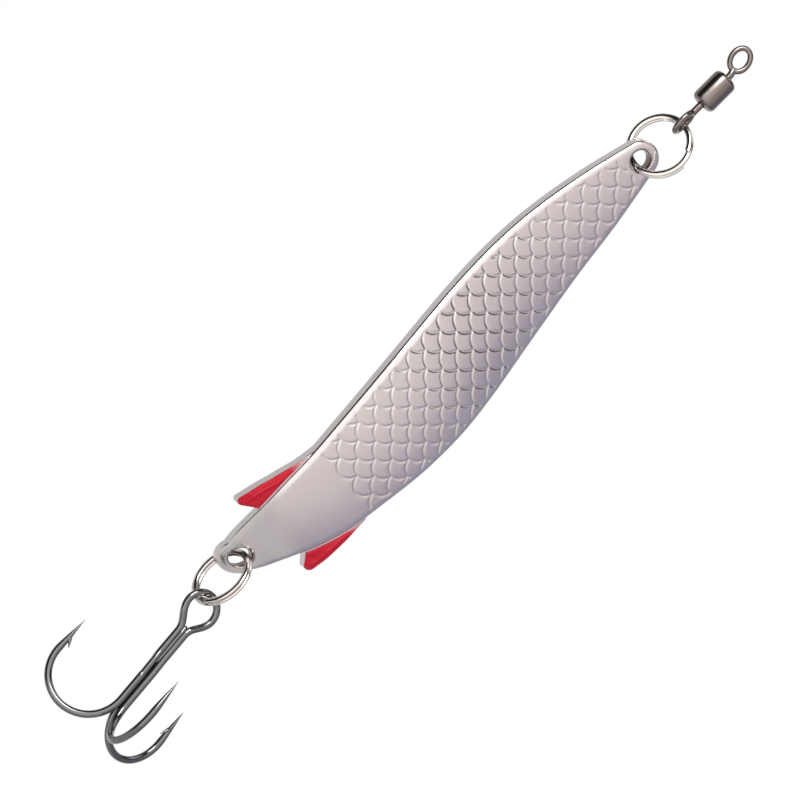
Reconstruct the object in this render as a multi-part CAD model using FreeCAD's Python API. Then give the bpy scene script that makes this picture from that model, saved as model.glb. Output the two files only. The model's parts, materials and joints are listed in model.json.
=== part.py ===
import FreeCAD, Part
import math
import os

# Spoon lure hanging from its line eye. +Z runs up the line, the scaled face
# looks along -Y and +X is to the right seen from that face. All sizes in mm.
# The swivel's axis is the Z axis while the pieces are made; the whole lure is
# then shifted so that the origin is the centre of the line eye.

V = FreeCAD.Vector

# ---- blade, one brass stamping -------------------------------------------
blade_length = 84.8
blade_width = 16.3
blade_thickness = 1.8
blade_top_z = -17.35
crown_radius = 36.0        # sideways rounding of the scaled face
bend_depth = 5.45          # how far the belly of the S stands forward
waist_width = 13.3         # where the fins begin
lug_radius = 2.85          # rounded ends round the ring holes
hole_diameter = 3.3
hole_inset = 2.85          # hole centre to the end of the blade
countersink = 0.5          # 45 degree break on both ends of each hole
surface_columns = 7

# half widths of the body down its length, as shares of length and of width
flank_stations = (
    (0.070, 0.226),
    (0.153, 0.319),
    (0.319, 0.438),
    (0.523, 0.499),
    (0.658, 0.470),
)
waist_share = 0.787
# how far the face stands forward down its length, as shares of bend_depth
bend_stations = (
    (0.000, -0.120),
    (0.070, -0.190),
    (0.153, -0.212),
    (0.204, -0.219),
    (0.254, -0.172),
    (0.304, -0.058),
    (0.354, 0.098),
    (0.405, 0.287),
    (0.457, 0.510),
    (0.508, 0.716),
    (0.558, 0.878),
    (0.609, 0.967),
    (0.659, 1.000),
    (0.708, 0.965),
    (0.758, 0.900),
    (0.840, 0.560),
    (0.927, 0.016),
    (0.966, -0.310),
    (1.000, -0.640),
)

# ---- red fins -------------------------------------------------------------
fin_width = 16.0           # across both fins
fin_notch_share = 0.890    # where the fin's lower edge meets the body
fin_tip_share = 0.912
fin_tip_radius = 0.8
fin_step = 0.40            # the fins lie this far below the scaled face
enamel_thickness = 0.22
enamel_margin = 0.15       # bare strip between the enamel and the step

# ---- split rings, two turns of flattened wire -----------------------------
ring_outer_radius = 4.85
ring_wire_radial = 0.90
ring_wire_axial = 0.58
ring_turn_gap = 0.04
ring_turns = 1.93
ring_path_steps = 24
head_ring_cut_end = 180.0  # half way along the wire is at this turn
tail_ring_cut_end = 200.0
head_ring_turn = 56.0      # turn of the ring's plane about Z from the blade's
tail_ring_turn = 80.0
head_ring_z = -16.75
head_ring_slide = 1.0      # hole centre to the ring's lowest point
tail_ring_slide = 0.94
tail_ring_drop = 3.80      # ring centre below the centre of the tail hole

# ---- barrel swivel --------------------------------------------------------
barrel_diameter = 3.74
barrel_length = 5.28
barrel_top_z = -3.13
barrel_round = 0.75
barrel_wall = 0.55
barrel_end_wall = 0.80
stem_diameter = 1.05
stem_clearance = 0.15      # all round the stem in the end of the barrel
stem_head_diameter = 2.10
stem_head_thickness = 0.70
head_end_clearance = 0.10
swivel_wire = 0.82
loop_half_width = 1.32     # to the centre of the wire
loop_half_height = 1.78
ring_eye_z = -11.93
eye_turn = 28.0            # turn of the line eye's plane about Z from the blade's
ring_eye_turn = 135.0
neck_rise = 0.25            # straight stem above the barrel before it leans
line_eye_offset = 0.56     # line eye beside the swivel's axis

# ---- treble hook ----------------------------------------------------------
hook_wire = 1.08
hook_eye_half_width = 2.47
hook_eye_clearance = 0.35  # under the crown of the eye, over the ring's wire
hook_eye_side = 0.40       # the ring bears beside the middle of the eye
hook_ring_slide = 1.30
hook_eye_swing = 112.0      # crown round to where the sides run in
hook_neck = 4.27            # eye centre down to where the two shanks meet
hook_pair_gap = 0.04
hook_merge_top = 8.27       # the pair makes room for the third shank here
hook_merge_end = 11.75
hook_cut_end = 11.97        # upper end of the third shank
hook_bend_drop = 16.73      # eye centre down to the centre of the bends
hook_bend_radius = 5.72
hook_point_length = 5.35
hook_point_lean = 3.0
hook_point_tip = 0.05
hook_barb_stand = 0.55
hook_barb_share = 0.12
hook_first_azimuth = 142.0
hook_cluster_turn = 58.0    # a shank's place in the bundle, round from its own hook
hook_pair_turn = 25.0      # the pair is turned this far from the eye's plane
hook_eye_turn = 3.0        # turn of the eye's plane about Z from the blade's
hook_lean_side = 1.8
hook_lean_front = 7.5
braze_clearance = 0.01


def cylinder_between(start, end, radius):
    axis = end - start
    return Part.makeCylinder(radius, axis.Length, start, axis)


def cone_between(start, end, radius_start, radius_end):
    axis = end - start
    return Part.makeCone(radius_start, radius_end, axis.Length, start, axis)


def bezier_edge(start, leaving, end, arriving):
    """A smooth link that leaves and arrives along the given directions."""
    pull = (end - start).Length * 0.40
    curve = Part.BezierCurve()
    curve.setPoles([start, start + leaving * pull, end - arriving * pull, end])
    return curve.toShape()


def wire_along(edges, radius):
    """A round wire whose centre follows edges that run on smoothly."""
    path = Part.Wire(edges)
    first = path.OrderedEdges[0]
    start = path.OrderedVertexes[0].Point
    along = first.tangentAt(first.Curve.parameter(start))
    section = Part.Wire(Part.makeCircle(radius, start, along))
    return path.makePipeShell([section], True, False)


def direction_of(turn):
    """The level direction in the plane of something turned about Z."""
    return V(math.cos(math.radians(turn)), -math.sin(math.radians(turn)), 0)


def blade_z(share):
    return blade_top_z - share * blade_length


def bend_curve():
    """The face's centre line in the YZ plane, top to bottom."""
    curve = Part.BSplineCurve()
    curve.interpolate([V(0, -bend_depth * bend, blade_z(share)) for share, bend in bend_stations])
    return curve


def face_sheet(depth, thickness):
    """A full-width curved slab that starts this far behind the scaled face."""
    curve = bend_curve()
    rows = []
    overrun = blade_length * 0.012
    for step in range(33):
        along = curve.FirstParameter + (curve.LastParameter - curve.FirstParameter) * step / 32
        centre = curve.value(along)
        centre.z += overrun * (1 - step / 16)
        row = []
        for column in range(surface_columns):
            x = blade_width * 0.55 * (2 * column / (surface_columns - 1) - 1)
            row.append(V(x, centre.y - blade_thickness / 2 + x * x / (2 * crown_radius) + depth, centre.z))
        rows.append(row)
    surface = Part.BSplineSurface()
    surface.interpolate(rows)
    return surface.toShape().extrude(V(0, thickness, 0))


def prism(wire):
    """The outline in the XZ plane, carried right through the blade's depth."""
    reach = 4 * bend_depth
    face = Part.Face(wire)
    face.translate(V(0, -reach, 0))
    return face.extrude(V(0, 2 * reach, 0))


def spline_edge(points):
    curve = Part.BSplineCurve()
    curve.interpolate(points)
    return curve.toShape()


def mirrored_point(point):
    return V(-point.x, point.y, point.z)


def tail_flank(share):
    """Half width of the body from the waist to the tail lug."""
    tail_share = 1 - hole_inset / blade_length
    fall = (share - waist_share) / (tail_share - waist_share)
    half = waist_width / 2 + (lug_radius - waist_width / 2) * fall
    return half + 0.35 * math.sin(math.pi * fall)


def body_outline():
    """Head lug, flanks out to the waist and the taper to the tail lug."""
    head = V(0, 0, blade_top_z - hole_inset)
    tail = V(0, 0, blade_z(1) + hole_inset)
    head_side = head + V(lug_radius, 0, 0)
    tail_side = tail + V(lug_radius * 0.97, 0, -lug_radius * 0.24)
    flank = [head_side]
    flank += [V(half * blade_width, 0, blade_z(share)) for share, half in flank_stations]
    flank += [V(waist_width / 2, 0, blade_z(waist_share))]
    tail_share = 1 - hole_inset / blade_length
    taper = [flank[-1]]
    for part in (0.25, 0.5, 0.75):
        share = waist_share + part * (tail_share - waist_share)
        taper.append(V(tail_flank(share), 0, blade_z(share)))
    taper.append(tail_side)
    edges = [
        Part.Arc(mirrored_point(head_side), V(0, 0, blade_top_z), head_side).toShape(),
        spline_edge(flank),
        spline_edge(taper),
        Part.Arc(tail_side, V(0, 0, blade_z(1)), mirrored_point(tail_side)).toShape(),
        spline_edge([mirrored_point(p) for p in reversed(taper)]),
        spline_edge([mirrored_point(p) for p in reversed(flank)]),
    ]
    return Part.Wire(Part.__sortEdges__(edges))


def fin_outline(side, inner_gap):
    """One fin outside the body's taper; inner_gap keeps it off the step."""
    top_share = waist_share - 0.004
    top = V(waist_width / 2 + inner_gap, 0, blade_z(top_share))
    bulge = V(waist_width / 2 + 0.28 * (fin_width - waist_width), 0, blade_z(waist_share + 0.045))
    outer = V(fin_width / 2, 0, blade_z(fin_notch_share))
    tip_z = blade_z(fin_tip_share)
    tip = V(fin_width / 2 - 0.8 * fin_tip_radius, 0, tip_z)
    tip_side = V(fin_width / 2 - 0.12 * fin_tip_radius, 0, tip_z + 0.55 * fin_tip_radius)
    tip_inner = V(tip.x - 0.9 * fin_tip_radius, 0, tip_z + 0.25 * fin_tip_radius)
    notch = V(tail_flank(fin_notch_share) + inner_gap, 0, blade_z(fin_notch_share))
    middle_share = (waist_share + fin_notch_share) / 2
    middle = V(tail_flank(middle_share) + inner_gap, 0, blade_z(middle_share))
    points = (top, bulge, outer, tip_side, tip, tip_inner, notch, middle)
    if side < 0:
        points = [mirrored_point(p) for p in points]
    top, bulge, outer, tip_side, tip, tip_inner, notch, middle = points
    edges = [
        spline_edge([top, bulge, outer]),
        Part.makeLine(outer, tip_side),
        Part.Arc(tip_side, tip, tip_inner).toShape(),
        Part.makeLine(tip_inner, notch),
        spline_edge([notch, middle, top]),
    ]
    return Part.Wire(edges)


def hole_axis(share):
    """Centre of the blade's thickness and its normal where a hole passes."""
    curve = bend_curve()
    along = curve.FirstParameter + (curve.LastParameter - curve.FirstParameter) * share
    for _ in range(20):
        miss = curve.value(along).z - blade_z(share)
        step = curve.getD1(along)[1]
        along -= miss / step.z
        along = min(max(along, curve.FirstParameter), curve.LastParameter)
    centre = curve.value(along)
    downward = curve.tangent(along)[0]
    return centre, V(0, downward.z, -downward.y).normalize()


def ring_hole(share):
    """A countersunk hole for a split ring, cut square to the blade there."""
    centre, normal = hole_axis(share)
    radius = hole_diameter / 2
    reach = blade_thickness
    cutter = cylinder_between(centre - normal * reach, centre + normal * reach, radius)
    for way in (1, -1):
        mouth = centre + normal * way * blade_thickness / 2
        inner = mouth - normal * way * countersink
        outer = mouth + normal * way * countersink
        cutter = cutter.fuse(cone_between(inner, outer, radius, radius + 2 * countersink))
    return cutter


def head_hole_share():
    return hole_inset / blade_length


def tail_hole_share():
    return 1 - hole_inset / blade_length


def blade():
    """The stamped blade with its two ring holes and the stepped-down fins."""
    body = face_sheet(0, blade_thickness).common(prism(body_outline()))
    for side in (1, -1):
        fin = face_sheet(fin_step, blade_thickness - fin_step).common(prism(fin_outline(side, -0.3)))
        body = body.fuse(fin)
    for share in (head_hole_share(), tail_hole_share()):
        body = body.cut(ring_hole(share))
    return body.translated(blade_shift())


def fin_enamel(side):
    """The coat of red enamel on one fin."""
    coat = face_sheet(fin_step - enamel_thickness, enamel_thickness)
    coat = coat.common(prism(fin_outline(side, enamel_margin)))
    return coat.translated(blade_shift())


def blade_shift():
    """The head hole sits beside the lowest point of its ring."""
    centre = hole_axis(head_hole_share())[0]
    place = direction_of(head_ring_turn) * -head_ring_slide
    return V(place.x, place.y - centre.y, 0)


def coil(cut_end_turn):
    """Nearly two turns of flattened wire round the Y axis."""
    mean = ring_outer_radius - ring_wire_radial / 2
    pitch = ring_wire_axial + ring_turn_gap
    points = []
    for step in range(ring_path_steps + 1):
        turned = ring_turns * (step / ring_path_steps - 0.5)
        angle = math.radians(cut_end_turn + 360 * turned)
        points.append(V(mean * math.cos(angle), pitch * turned, mean * math.sin(angle)))
    curve = Part.BSplineCurve()
    curve.interpolate(points)
    outward = V(points[0].x, 0, points[0].z).normalize()
    along = curve.tangent(curve.FirstParameter)[0]
    section = Part.Ellipse(V(0, 0, 0), ring_wire_radial / 2, ring_wire_axial / 2).toShape()
    frame = FreeCAD.Rotation(outward, V(0, 1, 0), along, "ZXY")
    section.Placement = FreeCAD.Placement(points[0], frame)
    return Part.Wire(curve.toShape()).makePipeShell([Part.Wire(section)], True, True)


def head_split_ring():
    ring = coil(head_ring_cut_end)
    ring.rotate(V(0, 0, 0), V(0, 0, 1), -head_ring_turn)
    return ring.translated(V(0, 0, head_ring_z))


def tail_ring_centre():
    hole = hole_axis(tail_hole_share())[0] + blade_shift()
    return hole + direction_of(tail_ring_turn) * tail_ring_slide - V(0, 0, tail_ring_drop)


def tail_split_ring():
    ring = coil(tail_ring_cut_end)
    ring.rotate(V(0, 0, 0), V(0, 0, 1), -tail_ring_turn)
    return ring.translated(tail_ring_centre())


def swivel_barrel():
    """The hollow barrel, rounded over both stem heads."""
    outer = Part.makeCylinder(barrel_diameter / 2, barrel_length)
    outer = outer.makeFillet(barrel_round, [e for e in outer.Edges if len(e.Vertexes) == 1])
    cavity_radius = barrel_diameter / 2 - barrel_wall
    cavity = Part.makeCylinder(cavity_radius, barrel_length - 2 * barrel_end_wall, V(0, 0, barrel_end_wall))
    bore = Part.makeCylinder(stem_diameter / 2 + stem_clearance, barrel_length)
    barrel = outer.cut(cavity.fuse(bore))
    return barrel.translated(V(0, 0, barrel_top_z - barrel_length))


def eye_loop():
    """An oval loop of wire in the XZ plane round the origin."""
    oval = Part.Ellipse(V(0, 0, 0), loop_half_height, loop_half_width).toShape()
    oval.rotate(V(0, 0, 0), V(0, 0, 1), 90)
    oval.rotate(V(0, 0, 0), V(1, 0, 0), 90)
    first = oval.valueAt(oval.FirstParameter)
    along = oval.tangentAt(oval.FirstParameter)
    section = Part.Wire(Part.makeCircle(swivel_wire / 2, first, along))
    return Part.Wire(oval).makePipeShell([section], True, True)


def stem_with_head(top, bottom, head_above):
    """The straight stem, from the loop into the barrel, and its head."""
    stem = cylinder_between(top, bottom, stem_diameter / 2)
    if head_above:
        head = Part.makeCylinder(stem_head_diameter / 2, stem_head_thickness, top - V(0, 0, stem_head_thickness))
    else:
        head = Part.makeCylinder(stem_head_diameter / 2, stem_head_thickness, bottom)
    return stem.fuse(head)


def line_eye_centre():
    return direction_of(eye_turn) * -line_eye_offset


def swivel_line_eye():
    """The upper eye, which the line is tied to, with its stem and head."""
    lean = math.degrees(math.atan2(line_eye_offset, -barrel_top_z))
    loop = eye_loop()
    loop.rotate(V(0, 0, 0), V(0, 1, 0), 180 - lean)
    loop.rotate(V(0, 0, 0), V(0, 0, 1), -eye_turn)
    loop.translate(line_eye_centre())
    shoulder = barrel_top_z - barrel_end_wall - head_end_clearance
    foot = V(0, 0, shoulder - stem_head_thickness)
    mouth = V(0, 0, barrel_top_z + neck_rise)
    crown = line_eye_centre() * 0.35 - V(0, 0, loop_half_height * 0.97)
    tilt = (line_eye_centre() - mouth).normalize()
    neck = [Part.makeLine(foot, mouth), bezier_edge(mouth, V(0, 0, 1), crown, tilt)]
    head = Part.makeCylinder(stem_head_diameter / 2, stem_head_thickness, foot)
    return loop.fuse([wire_along(neck, stem_diameter / 2), head])


def swivel_ring_eye():
    """The lower eye, which carries the head ring, with its stem and head."""
    loop = eye_loop()
    loop.rotate(V(0, 0, 0), V(0, 0, 1), -ring_eye_turn)
    loop.translate(V(0, 0, ring_eye_z))
    shoulder = barrel_top_z - barrel_length + barrel_end_wall + head_end_clearance
    stem = stem_with_head(V(0, 0, shoulder + stem_head_thickness), V(0, 0, ring_eye_z + loop_half_height * 0.97), True)
    return loop.fuse(stem)


def hook_out(index):
    """The level direction in which one of the three hooks points."""
    azimuth = math.radians(hook_first_azimuth + 120 * index)
    return V(math.cos(azimuth), math.sin(azimuth), 0)


def merged_spot(index, drop):
    """Centre of a shank where all three touch, below the eye's centre."""
    touching = (hook_wire + hook_pair_gap) / math.sqrt(3)
    azimuth = math.radians(hook_first_azimuth + hook_cluster_turn + 120 * index)
    return V(math.cos(azimuth) * touching, math.sin(azimuth) * touching, -drop)


def paired_spot(side, drop):
    """Centre of one shank of the pair, below the eye's centre."""
    return direction_of(hook_pair_turn) * (side * (hook_wire + hook_pair_gap) / 2) - V(0, 0, drop)


def bend_foot(index):
    """Where the point begins, and the direction in which it rises."""
    out = hook_out(index)
    lean = math.radians(hook_point_lean)
    centre = merged_spot(index, hook_bend_drop) + out * hook_bend_radius
    foot = centre + (out * math.cos(lean) + V(0, 0, math.sin(lean))) * hook_bend_radius
    return foot, V(0, 0, math.cos(lean)) - out * math.sin(lean)


def bend_edge(index):
    """The round bend, from the shank to the foot of the point."""
    centre = merged_spot(index, hook_bend_drop) + hook_out(index) * hook_bend_radius
    bottom = centre - V(0, 0, hook_bend_radius)
    return Part.Arc(merged_spot(index, hook_bend_drop), bottom, bend_foot(index)[0]).toShape()


def hook_point(index):
    """The tapered point and its cut barb."""
    out = hook_out(index)
    foot, up = bend_foot(index)
    radius = hook_wire / 2
    point = cone_between(foot, foot + up * hook_point_length, radius, hook_point_tip)
    barb_root = foot + up * (hook_point_length * 0.42)
    barb_tip = foot + up * (hook_point_length * hook_barb_share) - out * (radius + hook_barb_stand)
    return point.fuse(cone_between(barb_root, barb_tip, radius * 0.55, hook_point_tip))


def eye_side_edges(side):
    """Half of the eye, from its crown down to the neck on one side."""
    swing = math.radians(hook_eye_swing)
    shoulder = V(side * math.sin(swing), 0, math.cos(swing)) * hook_eye_half_width
    leaving = V(side * math.cos(swing), 0, -math.sin(swing))
    middle = V(side * math.sin(swing / 2), 0, math.cos(swing / 2)) * hook_eye_half_width
    crown = V(0, 0, hook_eye_half_width)
    neck = paired_spot(side, hook_neck)
    down = V(0, 0, -1)
    return [Part.Arc(crown, middle, shoulder).toShape(), bezier_edge(shoulder, leaving, neck, down)]


def shank_edges(index, side):
    """One shank of the pair: straight, then aside for the third, then its bend."""
    down = V(0, 0, -1)
    neck = paired_spot(side, hook_neck)
    parting = paired_spot(side, hook_merge_top)
    merged = merged_spot(index, hook_merge_end)
    return [
        Part.makeLine(neck, parting),
        bezier_edge(parting, down, merged, down),
        Part.makeLine(merged, merged_spot(index, hook_bend_drop)),
        bend_edge(index),
    ]


def double_hook():
    """One wire: a bend, a shank, the eye, the other shank and its bend."""
    left = eye_side_edges(-1) + shank_edges(2, -1)
    right = eye_side_edges(1) + shank_edges(1, 1)
    wire = wire_along(list(reversed(left)) + right, hook_wire / 2)
    return wire.fuse([hook_point(1), hook_point(2)])


def single_hook():
    """The third hook, whose plain shank is brazed beside the pair."""
    shank = Part.makeLine(merged_spot(0, hook_cut_end), merged_spot(0, hook_bend_drop))
    return wire_along([shank, bend_edge(0)], hook_wire / 2).fuse(hook_point(0))


def shank_braze():
    """Filler metal in the front groove between the two straight shanks."""
    half = (hook_wire + hook_pair_gap) / 2
    radius = hook_wire / 2 + braze_clearance
    points = []
    for degrees in (12, 36, 60):
        angle = math.radians(degrees)
        points.append(V(half - radius * math.cos(angle), -radius * math.sin(angle), 0))
    inner, middle, outer = points
    dip = V(0, outer.y + 0.05 * hook_wire, 0)
    edges = [
        Part.Arc(inner, middle, outer).toShape(),
        Part.Arc(outer, dip, mirrored_point(outer)).toShape(),
        Part.Arc(mirrored_point(outer), mirrored_point(middle), mirrored_point(inner)).toShape(),
        Part.makeLine(mirrored_point(inner), inner),
    ]
    face = Part.Face(Part.Wire(edges))
    length = hook_merge_top - hook_neck
    braze = face.extrude(V(0, 0, length)).translated(V(0, 0, -hook_merge_top))
    braze.rotate(V(0, 0, 0), V(0, 0, 1), -hook_pair_turn)
    return braze


def hook_place():
    """Eye centre of the treble where it hangs in the tail ring."""
    ring_centre = tail_ring_centre()
    mean = ring_outer_radius - ring_wire_radial / 2
    along = direction_of(tail_ring_turn) * hook_ring_slide
    wire_drop = math.sqrt(mean ** 2 - hook_ring_slide ** 2)
    bearing = ring_centre + along - V(0, 0, wire_drop)
    crown_rise = math.sqrt(hook_eye_half_width ** 2 - hook_eye_side ** 2)
    stack = hook_wire / 2 + ring_wire_radial / 2 + hook_eye_clearance
    return bearing + direction_of(hook_eye_turn) * hook_eye_side + V(0, 0, stack - crown_rise)


def placed_hook(shape):
    """Lean the treble about its eye, turn it and hang it in the ring."""
    shape = shape.copy()
    shape.rotate(V(0, 0, 0), V(1, 0, 0), -hook_lean_front)
    shape.rotate(V(0, 0, 0), V(0, 1, 0), -hook_lean_side)
    shape.rotate(V(0, 0, 0), V(0, 0, 1), -hook_eye_turn)
    shape.translate(hook_place())
    return shape


def main():
    os.makedirs("parts", exist_ok=True)
    pieces = {
        "blade": blade(),
        "left_fin_enamel": fin_enamel(-1),
        "right_fin_enamel": fin_enamel(1),
        "head_split_ring": head_split_ring(),
        "tail_split_ring": tail_split_ring(),
        "swivel_barrel": swivel_barrel(),
        "swivel_line_eye": swivel_line_eye(),
        "swivel_ring_eye": swivel_ring_eye(),
        "double_hook": placed_hook(double_hook()),
        "single_hook": placed_hook(single_hook()),
        "shank_braze": placed_hook(shank_braze()),
    }
    for name, shape in pieces.items():
        shape.translate(-line_eye_centre())
        shape.exportStep("parts/" + name + ".step")


main()
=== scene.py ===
import json
import math

import bpy
import numpy as np
from bpy.props import FloatProperty, FloatVectorProperty, IntProperty, PointerProperty
from mathutils import Matrix, Vector
from mathutils.geometry import delaunay_2d_cdt


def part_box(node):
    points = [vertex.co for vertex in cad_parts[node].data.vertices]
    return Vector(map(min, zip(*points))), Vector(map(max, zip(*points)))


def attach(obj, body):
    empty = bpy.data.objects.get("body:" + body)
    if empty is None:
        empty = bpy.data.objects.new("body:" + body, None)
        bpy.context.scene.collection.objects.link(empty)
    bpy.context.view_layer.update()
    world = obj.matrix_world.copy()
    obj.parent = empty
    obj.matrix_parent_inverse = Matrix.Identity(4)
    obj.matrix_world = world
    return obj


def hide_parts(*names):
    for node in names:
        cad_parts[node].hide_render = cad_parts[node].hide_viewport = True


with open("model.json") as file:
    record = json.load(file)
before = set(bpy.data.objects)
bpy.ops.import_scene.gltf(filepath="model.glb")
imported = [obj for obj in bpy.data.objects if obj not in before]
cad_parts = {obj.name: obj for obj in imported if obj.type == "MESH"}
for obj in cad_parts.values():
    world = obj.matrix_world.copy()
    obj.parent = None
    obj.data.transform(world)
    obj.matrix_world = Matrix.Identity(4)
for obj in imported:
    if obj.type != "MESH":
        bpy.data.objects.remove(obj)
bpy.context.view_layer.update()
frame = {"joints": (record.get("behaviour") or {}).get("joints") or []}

bl_info = {
    "name": "Spoon Lure",
    "version": (1, 0, 0),
    "blender": (4, 5, 0),
    "location": "3D View > Sidebar > Lure",
    "description": "Makes a plated spoon lure with a swivel, split rings and a treble hook",
    "category": "Object",
}

MM = 0.001

# Joint places tie the pieces to the frame.
JOINTS = {joint["name"]: joint for joint in frame["joints"]}
HEAD_RING_CENTRE = Vector(JOINTS["blade_swing"]["pos_m"])
TAIL_RING_CENTRE = Vector(JOINTS["treble_swing"]["pos_m"])
SWIVEL_AXIS = Vector(JOINTS["barrel_spin"]["pos_m"])
BLADE_LOW, BLADE_HIGH = (Vector(corner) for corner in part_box("blade"))
BARREL_LOW, BARREL_HIGH = (Vector(corner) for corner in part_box("swivel_barrel"))

# Half widths of the body down its length, as shares of length and of width.
FLANK_STATIONS = (
    (0.034, 0.180), (0.070, 0.226), (0.104, 0.268), (0.154, 0.320), (0.204, 0.363), (0.254, 0.400),
    (0.304, 0.431), (0.354, 0.455), (0.405, 0.474), (0.457, 0.489), (0.508, 0.497), (0.558, 0.498),
    (0.609, 0.488), (0.659, 0.470), (0.708, 0.443), (0.758, 0.411), (0.822, 0.370), (0.891, 0.292),
    (0.928, 0.242), (0.951, 0.207), (0.966, 0.175),
)
# How far the face stands forward down its length, as shares of the bend.
BEND_STATIONS = (
    (0.000, -0.120), (0.070, -0.190), (0.153, -0.212), (0.204, -0.219), (0.254, -0.172),
    (0.304, -0.058), (0.354, 0.098), (0.405, 0.287), (0.457, 0.510), (0.508, 0.716),
    (0.558, 0.878), (0.609, 0.967), (0.659, 1.000), (0.708, 0.965), (0.758, 0.905),
    (0.790, 0.845), (0.840, 0.640), (0.870, 0.465), (0.900, 0.245), (0.927, 0.016),
    (0.951, -0.175), (0.966, -0.310), (1.000, -0.640),
)
# Outer edge of a fin below the waist, as shares of length and of fin width.
FIN_STATIONS = (
    (0.752, 0.412), (0.782, 0.427), (0.803, 0.441), (0.823, 0.461), (0.845, 0.477),
    (0.866, 0.493), (0.884, 0.499),
)

# Loops of vertices that follow an edge: distances inside it, or shares of the edge's width.
BODY_EDGE_LOOPS = (0.006, 0.02, 0.045, 0.08, 0.13, 0.2, 0.3, 0.45, 0.62, 0.78, 0.88, 0.95, 1.03)
FIN_EDGE_LOOPS = (0.006, 0.02, 0.05, 0.1, 0.16, 0.24, 0.34)
HOLE_EDGE_SHARES = (0.08, 0.25, 0.5, 0.75, 1.0, 1.25)
BACK_EDGE_LOOPS = 7
HOLE_SIDES = 72

# Thickness of a barb from root to tip, as shares of the wire's radius.
BARB_TAPER = (0.62, 0.60, 0.54, 0.44, 0.32, 0.18, 0.04)
# Braze in the front and back grooves: drops below the eye's centre and radii, in mm.
FRONT_GROOVE = (3.05, 3.5, 5.0, 7.2, 8.8, 9.6)
BACK_GROOVE = (3.05, 3.5, 5.0, 7.2, 8.6, 9.2)
GROOVE_FILL = (0.12, 0.34, 0.33, 0.30, 0.24, 0.06)
# Radii of the braze that runs down on to the third shank, as shares of the wire.
SHANK_FILL = (0.10, 0.26, 0.34, 0.39, 0.42, 0.44, 0.45, 0.455, 0.46, 0.46, 0.46, 0.45, 0.40)

# Colours of the surroundings round the lure, by degrees from straight behind it.
AZIMUTH_TONES = (
    (-180, (0.72, 0.70, 0.69)), (-132, (0.62, 0.60, 0.60)), (-125, (0.02, 0.02, 0.02)),
    (-76, (0.02, 0.02, 0.02)), (-71, (1.5, 1.46, 1.42)), (-12, (1.35, 1.30, 1.26)),
    (-5, (0.91, 0.86, 0.82)), (10, (0.89, 0.84, 0.80)), (28, (0.755, 0.70, 0.705)),
    (40, (0.58, 0.54, 0.585)), (50, (0.42, 0.40, 0.48)), (62, (0.39, 0.38, 0.455)),
    (80, (0.36, 0.37, 0.43)), (102, (0.28, 0.30, 0.35)), (112, (1.1, 1.08, 1.05)),
    (180, (0.72, 0.70, 0.69)),
)
# Bands over and under the lure: where each begins and is full, as sines of height, and its colour.
HEIGHT_TONES = (
    (0.70, 0.77, (0.10, 0.085, 0.08, 1.0)),
    (0.90, 0.96, (1.2, 1.18, 1.16, 1.0)),
)


# ---------------------------------------------------------------------------
# Settings
# ---------------------------------------------------------------------------

def length_setting(name, description, millimetres):
    return FloatProperty(name=name, description=description, default=millimetres * MM,
                         min=0.0, unit="LENGTH", precision=5)


def angle_setting(name, description, degrees):
    return FloatProperty(name=name, description=description, default=math.radians(degrees),
                         unit="ROTATION")


def share_setting(name, description, value):
    return FloatProperty(name=name, description=description, default=value, subtype="FACTOR",
                         min=0.0, max=1.0)


def colour_setting(name, description, colour):
    return FloatVectorProperty(name=name, description=description, default=colour, size=3,
                               min=0.0, max=1.0, subtype="COLOR")


class BladeSettings(bpy.types.PropertyGroup):
    thickness: length_setting("Thickness", "Thickness of the stamping at its middle", 2.22)
    face_rise: length_setting("Face rise", "How far the scaled face stands over its sides", 0.40)
    crown_radius: length_setting("Crown radius", "Sideways rounding of the scaled face", 36.0)
    bend_depth: length_setting("Bend depth", "How far the belly stands forward", 5.45)
    shoulder_width: length_setting("Shoulder width", "Width of the rolled edge of the face", 1.0)
    shoulder_drop: length_setting("Shoulder drop", "Fall of the rolled edge of the face", 0.21)
    corner_radius: length_setting("Corner radius", "Rounding between shoulder and side", 0.35)
    lug_radius: length_setting("Lug radius", "Radius of the ends round the ring holes", 2.87)
    hole_radius: length_setting("Hole radius", "Radius of a ring hole's bore", 1.5)
    countersink: length_setting("Countersink", "Width of the broken edge round a ring hole", 0.55)
    back_corner: length_setting("Back corner", "Rounding of the back's edge", 0.36)
    outline_pitch: length_setting("Outline pitch", "Spacing of vertices along the outline", 0.22)
    mesh_pitch: length_setting("Mesh pitch", "Spacing of the face's vertices", 0.15)
    back_pitch: length_setting("Back pitch", "Spacing of the back's vertices", 0.6)


class ScaleSettings(bpy.types.PropertyGroup):
    pitch: length_setting("Pitch", "Spacing of the scales across the blade", 3.80)
    row_spacing: length_setting("Row spacing", "Spacing of the rows down the blade", 1.730)
    groove_width: length_setting("Groove width", "Half width of the line round a scale", 0.26)
    groove_depth: length_setting("Groove depth", "Depth of the line round a scale", 0.11)
    dome: length_setting("Dome", "Rise of each scale's middle", 0.02)
    phase: share_setting("Phase", "Sideways shift of the rows, as a share of the pitch", 0.055)
    margin: length_setting("Margin", "Plain border inside the blade's edge", 0.95)
    rows: IntProperty(name="Rows", description="Number of rows of scales", default=35, min=1)
    end_share: share_setting("End", "Where the last row ends, as a share of the length", 0.7616)


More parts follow.
